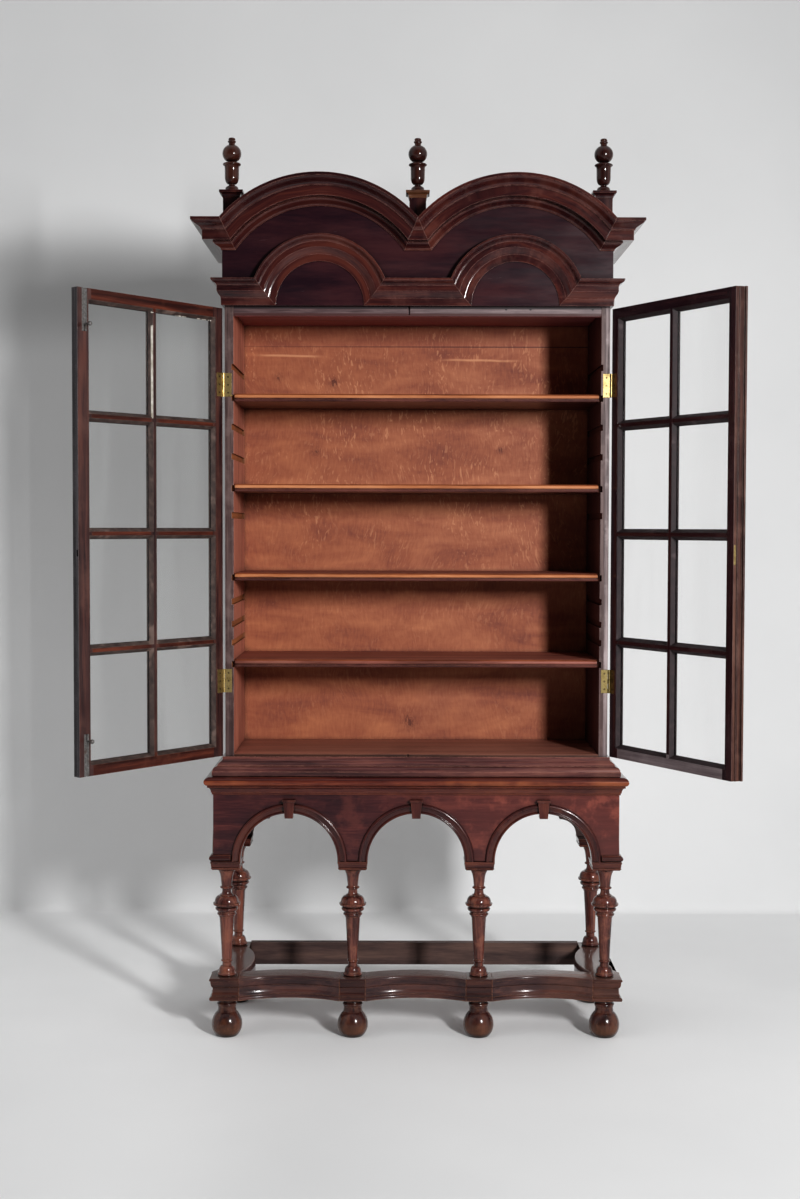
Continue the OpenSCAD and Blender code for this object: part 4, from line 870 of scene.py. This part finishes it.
polished_wood(
    "right_meeting_edge", "Z", (0.018, 0.008, 0.008), (0.06, 0.026, 0.02), (0.12, 0.058, 0.04),
    (0.26, 0.17, 0.14), patches=0.4, rough=0.3, coat=0.2, streak=2.5, mottle=20.0)
polished_wood(
    "foot_rail_wood", "X", (0.078, 0.06, 0.062), (0.165, 0.136, 0.138), (0.25, 0.215, 0.215),
    (0.36, 0.33, 0.32), patches=0.35, rough=0.36, coat=0.1, turn=-118, streak=2.0, mottle=16.0)
doors = {
    "left": dict(place=left_door, turn=127, meeting=42, tones=left_tones, rail_tones=left_rail_tones,
                 gloss=0.12, edge="left_meeting_edge"),
    "right": dict(place=right_door, turn=-118, meeting=34, tones=right_tones, rail_tones=right_tones,
                  gloss=0.34, edge="right_meeting_edge"),
}


def cut_door(shape, place, where, direction):
    """Cuts the faces of a door along a plane given in the door's own measures."""
    cut_across(shape, place @ Vector(where), (place.to_3x3() @ Vector(direction)).normalized())


def lay_on_door(shape, place, rule):
    """Gives each face of a door the material number that the rule names for its place."""
    back = place.inverted()
    for face in shape.faces:
        face.material_index = int(rule(back @ face.calc_center_median()))


def joinery_rule(side, meet):
    """0 on a door's stiles, 1 on its rails, 2 where the doors meet and 3 on the right foot rail."""
    def rule(spot):
        if spot.x > door_u1 - meeting_face:
            return 2
        if side == "right" and spot.z < door_z0 + foot_rail:
            return 3
        return door_u0 + stile < spot.x < meet
    return rule


for side, door in doors.items():
    place = door["place"]
    meet = door_u1 - door["meeting"]
    grained = dict(patches=0.35, wear=0.7, turn=door["turn"], streak=1.7, mottle=9.0, edge=0.0015)
    polished_wood(f"{side}_stile_wood", "Z", *door["tones"], **grained)
    polished_wood(
        f"{side}_rail_wood", "X", *door["rail_tones"], **grained, rough=0.22, coat=door["gloss"],
        shine=door["gloss"])
    sawn = [f"{side}_stile_wood", f"{side}_rail_wood"]
    joinery = solid_copy(f"{side}_door_frame")
    for rail_end in (door_u0 + stile, meet):
        cut_door(joinery, place, (rail_end, 0, 0), (1, 0, 0))
    lay_on_door(joinery, place, joinery_rule(side, meet))
    finish_piece(
        joinery, f"{side}_door_joinery", f"{side}_door", [*sawn, door["edge"], "foot_rail_wood"],
        f"{side}_door_frame", 0.5)

    upright_bar = door["middle_bar"] = (door_u0 + stile + meet) / 2
    bars = solid_copy(f"{side}_door_bars")
    for half in (-bar / 2, bar / 2):
        cut_door(bars, place, (upright_bar + half, 0, 0), (1, 0, 0))
    lay_on_door(bars, place, lambda spot: abs(spot.x - upright_bar) >= bar / 2)
    finish_piece(
        bars, f"{side}_door_glazing_bars", f"{side}_door", sawn, f"{side}_door_bars", 0.4)

# Glass. Eight panes of old cylinder glass a door, faintly hazy and streaked, lie in rebates
# behind the bars.
tree, coords = new_finish("old_glass")
slanted = stretched(coords, (2.2, 2.2, 0.35), (0, math.radians(38), 0))
haze = band(noise(slanted, 2.6, 3.0), 0.45, 0.7, 0.012, 0.05)
specks = band(noise(coords, 120.0), 0.7, 0.78, 0.0, 0.04)
set_surface(tree, {
    "Base Color": (0.8, 0.84, 0.83, 1), "Roughness": 0.06, "IOR": 1.5,
    "Alpha": figure("ADD", haze, specks),
    "Normal": bumps(noise(slanted, 9.0, 1.0), 0.1, 0.002),
    "Coat Weight": 1.0, "Coat Roughness": 0.02})
for side in doors:
    dress(f"{side}_door_glass", f"{side}_door_panes", ["old_glass"], body=f"{side}_door")

# Putty. It is run into the rebates behind the panes and painted brown. A length beside the
# left door's upright bar is made pale as a painted highlight, and cream-coloured chips of old
# putty are left under that door's top rail.
putty_tones = {
    "left": ((0.022, 0.012, 0.0105), (0.05, 0.03, 0.025), (0.105, 0.072, 0.06)),
    "right": ((0.01, 0.005, 0.0065), (0.023, 0.0125, 0.0145), (0.05, 0.034, 0.036)),
}
for side, tones in putty_tones.items():
    tree, coords = new_finish(f"{side}_painted_putty")
    lump = noise(coords, 60.0, 4.0, 0.7)
    chipped = band(noise(coords, 22.0), 0.6, 0.7, 0.0, 0.55)
    paint = colours(lump, (0.32, 0.52, 0.7), tones)
    paint = mix_colours(chipped, paint, [c * 1.9 for c in tones[2]])
    set_uneven_surface(tree, paint, lump, (0.5, 0.75), (0.5, 0.001))

# Pale cream putty, used for the real chips and for a painted highlight beside the left door's upright bar.
tree, coords = new_finish("pale_putty_and_painted_highlight")
lump = noise(coords, 90.0, 4.0, 0.7)
cream = colours(lump, (0.28, 0.5, 0.75), ((0.22, 0.18, 0.135), (0.46, 0.425, 0.37), (0.66, 0.63, 0.58)))
set_uneven_surface(tree, cream, lump, (0.35, 0.6), (0.4, 0.0008))
# Between these heights, the strip beside the left door's upright bar is a painted highlight.
highlight_z0, highlight_z1 = 1580, 1800
for side in doors:
    runs = solid_copy(f"{side}_door_putty")
    if side == "left":
        back = left_door.inverted()
        middle_bar = doors["left"]["middle_bar"]
        by_bar = [u for u in [(back @ v.co).x for v in runs.verts] if middle_bar < u < middle_bar + bar]
        half_way = (min(by_bar) + max(by_bar)) / 2
        cut_door(runs, left_door, (half_way, 0, 0), (1, 0, 0))
        cut_door(runs, left_door, (0, 0, highlight_z1), (0, 0, 1))
        lay_on_door(
            runs, left_door, lambda spot: middle_bar < spot.x < half_way and highlight_z0 < spot.z < highlight_z1)
    finish_piece(
        runs, f"{side}_door_putty_runs", f"{side}_door", [f"{side}_painted_putty", "pale_putty_and_painted_highlight"],
        f"{side}_door_putty")

dice = random.Random(11)
chips = bmesh.new()
chip_y = -1.5
chip_z = door_z1 - 35
for start, end in ((43, 52), (62, 74), (84, 92), (134, 172), (246, 254)):
    u = start
    while u < end:
        long = dice.uniform(1.4, 3.4)
        chip = bmesh.ops.create_icosphere(chips, subdivisions=2, radius=1.0)["verts"]
        for vert in chip:
            vert.co *= dice.uniform(0.8, 1.05)
        squeeze = Matrix.Diagonal((long, dice.uniform(1.1, 1.8), dice.uniform(1.2, 2.2), 1))
        lie = Matrix.Rotation(dice.uniform(-0.35, 0.35), 4, "Y")
        seat = left_door @ Matrix.Translation((u + long, chip_y, chip_z))
        bmesh.ops.transform(chips, matrix=seat @ lie @ squeeze, verts=chip)
        u += long * dice.uniform(1.7, 3.4)
bmesh.ops.recalc_face_normals(chips, faces=chips.faces)
finish_piece(chips, "putty_chips", "left_door", ["pale_putty_and_painted_highlight"])

# Hinges. Brass butts with five knuckles, let in flush and held by three screws a leaf. The
# right-hand ones are the more tarnished.


def old_brass(name, *tones):
    """Brass plate, tarnished in patches and dirty in its corners."""
    tree, coords = new_finish(name)
    tarnish = noise(coords, 70.0, 5.0, 0.7)
    metal = colours(tarnish, (0.3, 0.5, 0.7), tones)
    metal = mix_colours(band(openness(tree, 0.004), 0.75, 0.3), metal, (0.06, 0.04, 0.025))
    set_uneven_surface(tree, metal, tarnish, (0.45, 0.26), (0.15, 0.0004), 1.0)


old_brass("dull_brass", (0.2, 0.14, 0.055), (0.47, 0.35, 0.155), (0.72, 0.57, 0.28))
old_brass("tarnished_brass", (0.1, 0.075, 0.03), (0.24, 0.185, 0.08), (0.42, 0.34, 0.17))
dress("case_hinges", "case_hinge_leaves", ["dull_brass", "tarnished_brass"], 0.25,
      rule=lambda spot, normal: spot.x > 0)
for side, brass in (("left", "dull_brass"), ("right", "tarnished_brass")):
    dress(
        f"{side}_door_hinges", f"{side}_door_hinge_leaves", [brass], 0.25, body=f"{side}_door")

tree, coords = new_finish("screw_heads")
spots = noise(coords, 300.0, 3.0)
metal = colours(spots, (0.35, 0.65), ((0.035, 0.024, 0.014), (0.13, 0.095, 0.055)))
metal = mix_colours(band(openness(tree, 0.002), 0.8, 0.4), metal, (0.02, 0.015, 0.012))
set_surface(tree, {"Base Color": metal, "Metallic": 1.0, "Roughness": band(spots, 0.3, 0.7, 0.5, 0.3)})


def put_in(whole, shape):
    """Adds a shape to a larger one."""
    passing = bpy.data.meshes.new("passing")
    shape.to_mesh(passing)
    shape.free()
    whole.from_mesh(passing)
    bpy.data.meshes.remove(passing)


def screw_heads(name, places, body, material, radius=2.6, proud=0.35):
    """Slotted countersunk screw heads, one for each matrix of its place and direction."""
    half_slot = 0.38
    slot_depth = 0.45
    heads = bmesh.new()
    for number, place in enumerate(places):
        head = bmesh.new()
        bmesh.ops.create_cone(
            head, cap_ends=True, segments=20, radius1=radius, radius2=radius * 0.86, depth=2 * proud)
        for x in (-half_slot, half_slot):
            cut_across(head, (x, 0, 0), (1, 0, 0))
        slot_floor = [f for f in head.faces if f.normal.z > 0.9 and abs(f.calc_center_median().x) < half_slot]
        dug = bmesh.ops.extrude_face_region(head, geom=slot_floor)["geom"]
        bmesh.ops.translate(
            head, verts=[v for v in dug if isinstance(v, bmesh.types.BMVert)], vec=(0, 0, -slot_depth))
        bmesh.ops.delete(head, geom=slot_floor, context="FACES")
        driven = Matrix.Rotation(0.9 * number + 0.4, 3, "Z")
        bmesh.ops.rotate(head, verts=head.verts, cent=(0, 0, 0), matrix=driven)
        bmesh.ops.transform(head, matrix=place, verts=head.verts)
        bmesh.ops.recalc_face_normals(head, faces=head.faces)
        put_in(heads, head)
    finish_piece(heads, name, body, [material])


hinge_feet = (888.5, 1643.5)
screw_levels = [foot + rise for foot in hinge_feet for rise in (10, 30, 50)]
case_leaf_x = 481.5
door_leaf_u = 14
front_facing = Matrix.Rotation(math.radians(90), 4, "X")
back_facing = Matrix.Rotation(math.radians(-90), 4, "X")
case_screws = [Matrix.Translation(at(side * case_leaf_x, 0, z)) @ into_metres @ front_facing
               for side in (-1, 1) for z in screw_levels]
screw_heads("case_hinge_screws", case_screws, "cabinet", "screw_heads")
for side, door in doors.items():
    leaf_screws = [
        door["place"] @ Matrix.Translation((door_leaf_u, 0, z)) @ back_facing for z in screw_levels]
    screw_heads(f"{side}_hinge_screws", leaf_screws, f"{side}_door", "screw_heads")

# Bolts. An iron flush bolt at the top and one at the foot of the left door's inner face, each
# in a let-in plate with a dark slot and a ball knob, held by four screws.
tree, coords = new_finish("worn_iron")
pitting = noise(coords, 180.0, 5.0, 0.7)
rust = band(noise(coords, 45.0, 4.0), 0.55, 0.7, 0.0, 0.6)
metal = colours(pitting, (0.35, 0.6, 0.75), ((0.12, 0.115, 0.11), (0.26, 0.25, 0.245), (0.4, 0.39, 0.38)))
metal = mix_colours(rust, metal, (0.1, 0.045, 0.022))
metal = mix_colours(band(openness(tree, 0.004), 0.7, 0.25), metal, (0.012, 0.01, 0.009))
set_uneven_surface(tree, metal, pitting, (0.6, 0.38), (0.35, 0.0005), 0.85)
dress("bolt_plates", "flush_bolt_plates", ["worn_iron"], 0.2, body="left_door")
dress("top_bolt", "top_flush_bolt", ["worn_iron"], 0.2, body="top_bolt")
dress("bottom_bolt", "bottom_flush_bolt", ["worn_iron"], 0.2, body="bottom_bolt")
bolt_u = pin_x - 22
plate_screw_z = (door_z1 - 94, door_z1 - 40, door_z0 + 6, door_z0 + 60)
plate_screws = [left_door @ Matrix.Translation((bolt_u + across, -0.4, z)) @ back_facing
                for across in (-5.4, 5.4) for z in plate_screw_z]
screw_heads("bolt_plate_screws", plate_screws, "left_door", "worn_iron", radius=1.9, proud=0.25)

# Lock. A brass lock is let into the right door's meeting edge, with its bolt in its face.
# Both are of the same dull brass as the left door's hinges.
dress("door_lock", "mortised_lock", ["dull_brass"], 0.2, body="right_door")
dress("lock_bolt", "lock_bolt_bar", ["dull_brass"], 0.2, body="lock_bolt")

# Hood boards. The front is a shaped board with dark purplish veneer. The sides are veneered
# too, the back is bare, and thin curved boards close the two domes.
hood_tones = (
    (0.0155, 0.0056, 0.0096), (0.029, 0.0092, 0.0128), (0.046, 0.0145, 0.0168), (0.08, 0.028, 0.027))
polished_wood("hood_veneer", "X", *hood_tones, wear=0.5, rough=0.225, coat=0.05, streak=0.5)
polished_wood(
    "hood_side_veneer", "Y", *hood_tones, patches=0.25, wear=0.3, rough=0.23, streak=0.5)
polished_wood(
    "dome_wood", "Y", (0.02, 0.009, 0.008), (0.036, 0.017, 0.014), (0.06, 0.03, 0.024),
    (0.12, 0.065, 0.048), wear=0.4, rough=0.5, coat=0.0, dust=0.3)
hood_back_y = 310
dress("hood_front", "hood_front_board", ["hood_veneer"], 0.6)
dress("hood_box", "hood_sides_and_back", ["hood_side_veneer", "outer_board"], 0.6,
      rule=lambda spot, normal: spot.y > hood_back_y and abs(normal.y) > 0.5)
dress("dome_boards", "dome_board_pair", ["dome_wood"], 0.5)

# String course. The lower moulding of the hood: a hollow, a flat and a wave, mitred at the
# corners and into the two small arches, whose grain follows the curve.
cornice_tones = ((0.017, 0.0052, 0.0063), (0.041, 0.0103, 0.0098), (0.088, 0.024, 0.0165), (0.38, 0.2, 0.16))
carved = dict(edge=0.0015, mottle=14.0, soot=0.012)
wood_pair("string_wood", *cornice_tones, **carved, patches=0.22, rough=0.18, coat=0.5)
polished_wood(
    "hood_arch_wood", "UV", *cornice_tones, **carved, patches=0.18, wear=0.9, rough=0.16, coat=0.6)
dome_x = 247
at_hood_side = mitred(494, -22)


def dress_hood_arches(node, name, centre_z):
    """Makes a piece of a pair of mouldings over the two domes, with the grain round them."""
    pair = solid_copy(node)
    wrap_grain(pair, lambda spot: (math.copysign(dome_x, spot.x), centre_z, False))
    finish_piece(pair, name, "cabinet", ["hood_arch_wood"], node, 0.4)


dress("string_course", "string_course_run", ["string_wood", "side_string_wood"], 0.4, rule=at_hood_side)
dress_hood_arches("string_arches", "small_arch_pair", 1872.0)

# Cornice. The upper moulding: a bed mould, a soffit, a corona and a wave. It is straight at
# the ends and along the sides, and rises in two wide arches that are mitred in the middle.
wood_pair("cornice_wood", *cornice_tones, **carved, patches=0.22, rough=0.18, coat=0.5)
dress("cornice_ends", "cornice_straight_runs", ["cornice_wood", "side_cornice_wood"], 0.4, rule=at_hood_side)
dress_hood_arches("cornice_arches", "big_arch_pair", 1862.0)

# Plinths and finials. Three square plinths stand on the domes, and each carries a turned
# finial of an urn and a ball, held by a pin.
polished_wood(
    "plinth_wood", "Z", (0.014, 0.004, 0.006), (0.03, 0.0075, 0.0085), (0.06, 0.018, 0.014),
    (0.2, 0.07, 0.042), patches=0.4, wear=0.7, rough=0.22)
polished_wood(
    "golden_cap", "X", (0.05, 0.02, 0.012), (0.11, 0.045, 0.022), (0.2, 0.09, 0.042), (0.36, 0.18, 0.09),
    patches=0.4, rough=0.26, coat=0.3, mottle=20.0)
polished_wood(
    "finial_wood", "Z", (0.016, 0.005, 0.0045), (0.036, 0.011, 0.0085), (0.07, 0.024, 0.014),
    (0.16, 0.06, 0.032), patches=0.35, wear=0.5, rough=0.16, coat=0.55, streak=1.2, edge=0.0014)
cap_foot_z, cap_half_x = 2145, 100
finial_foot_z = 2165
finial_x = 473
finial_y = 23
dress("plinths", "plinth_set", ["plinth_wood", "golden_cap"], 0.4,
      rule=lambda spot, normal: abs(spot.x) < cap_half_x and spot.z > cap_foot_z)
finial_outline = [
    (0, 0), (19, 0), (19, 3.5), (17.5, 5), *sweep_up((17, 5), (9, 14)), (8, 15), (8, 18),
    *sweep_flat((8, 18), (18, 36), 10), (18, 40), (18.1, 50), (18.3, 62), (20, 65),
    *bulge((21.0, 65.4), (21.0, 71.2), 2.3, 6), (15, 72), (11.4, 73.6),
    *ball(24, 95.5, 20.6, -62, 62, 20), (8, 116.6), (8, 122), *bulge((8.6, 122.6), (8.6, 128.4), 2.0, 5),
    (8, 129.5), (8.9, 130.6), *bulge((9.0, 131.2), (6.6, 135), 0.6, 4), (0, 135)]
finials = bmesh.new()
for x in (-finial_x, 0, finial_x):
    put_in(finials, turning(finial_outline, x, finial_y, finial_foot_z, 64))
finish_piece(finials, "finial_set", "cabinet", ["finial_wood"], "finials")
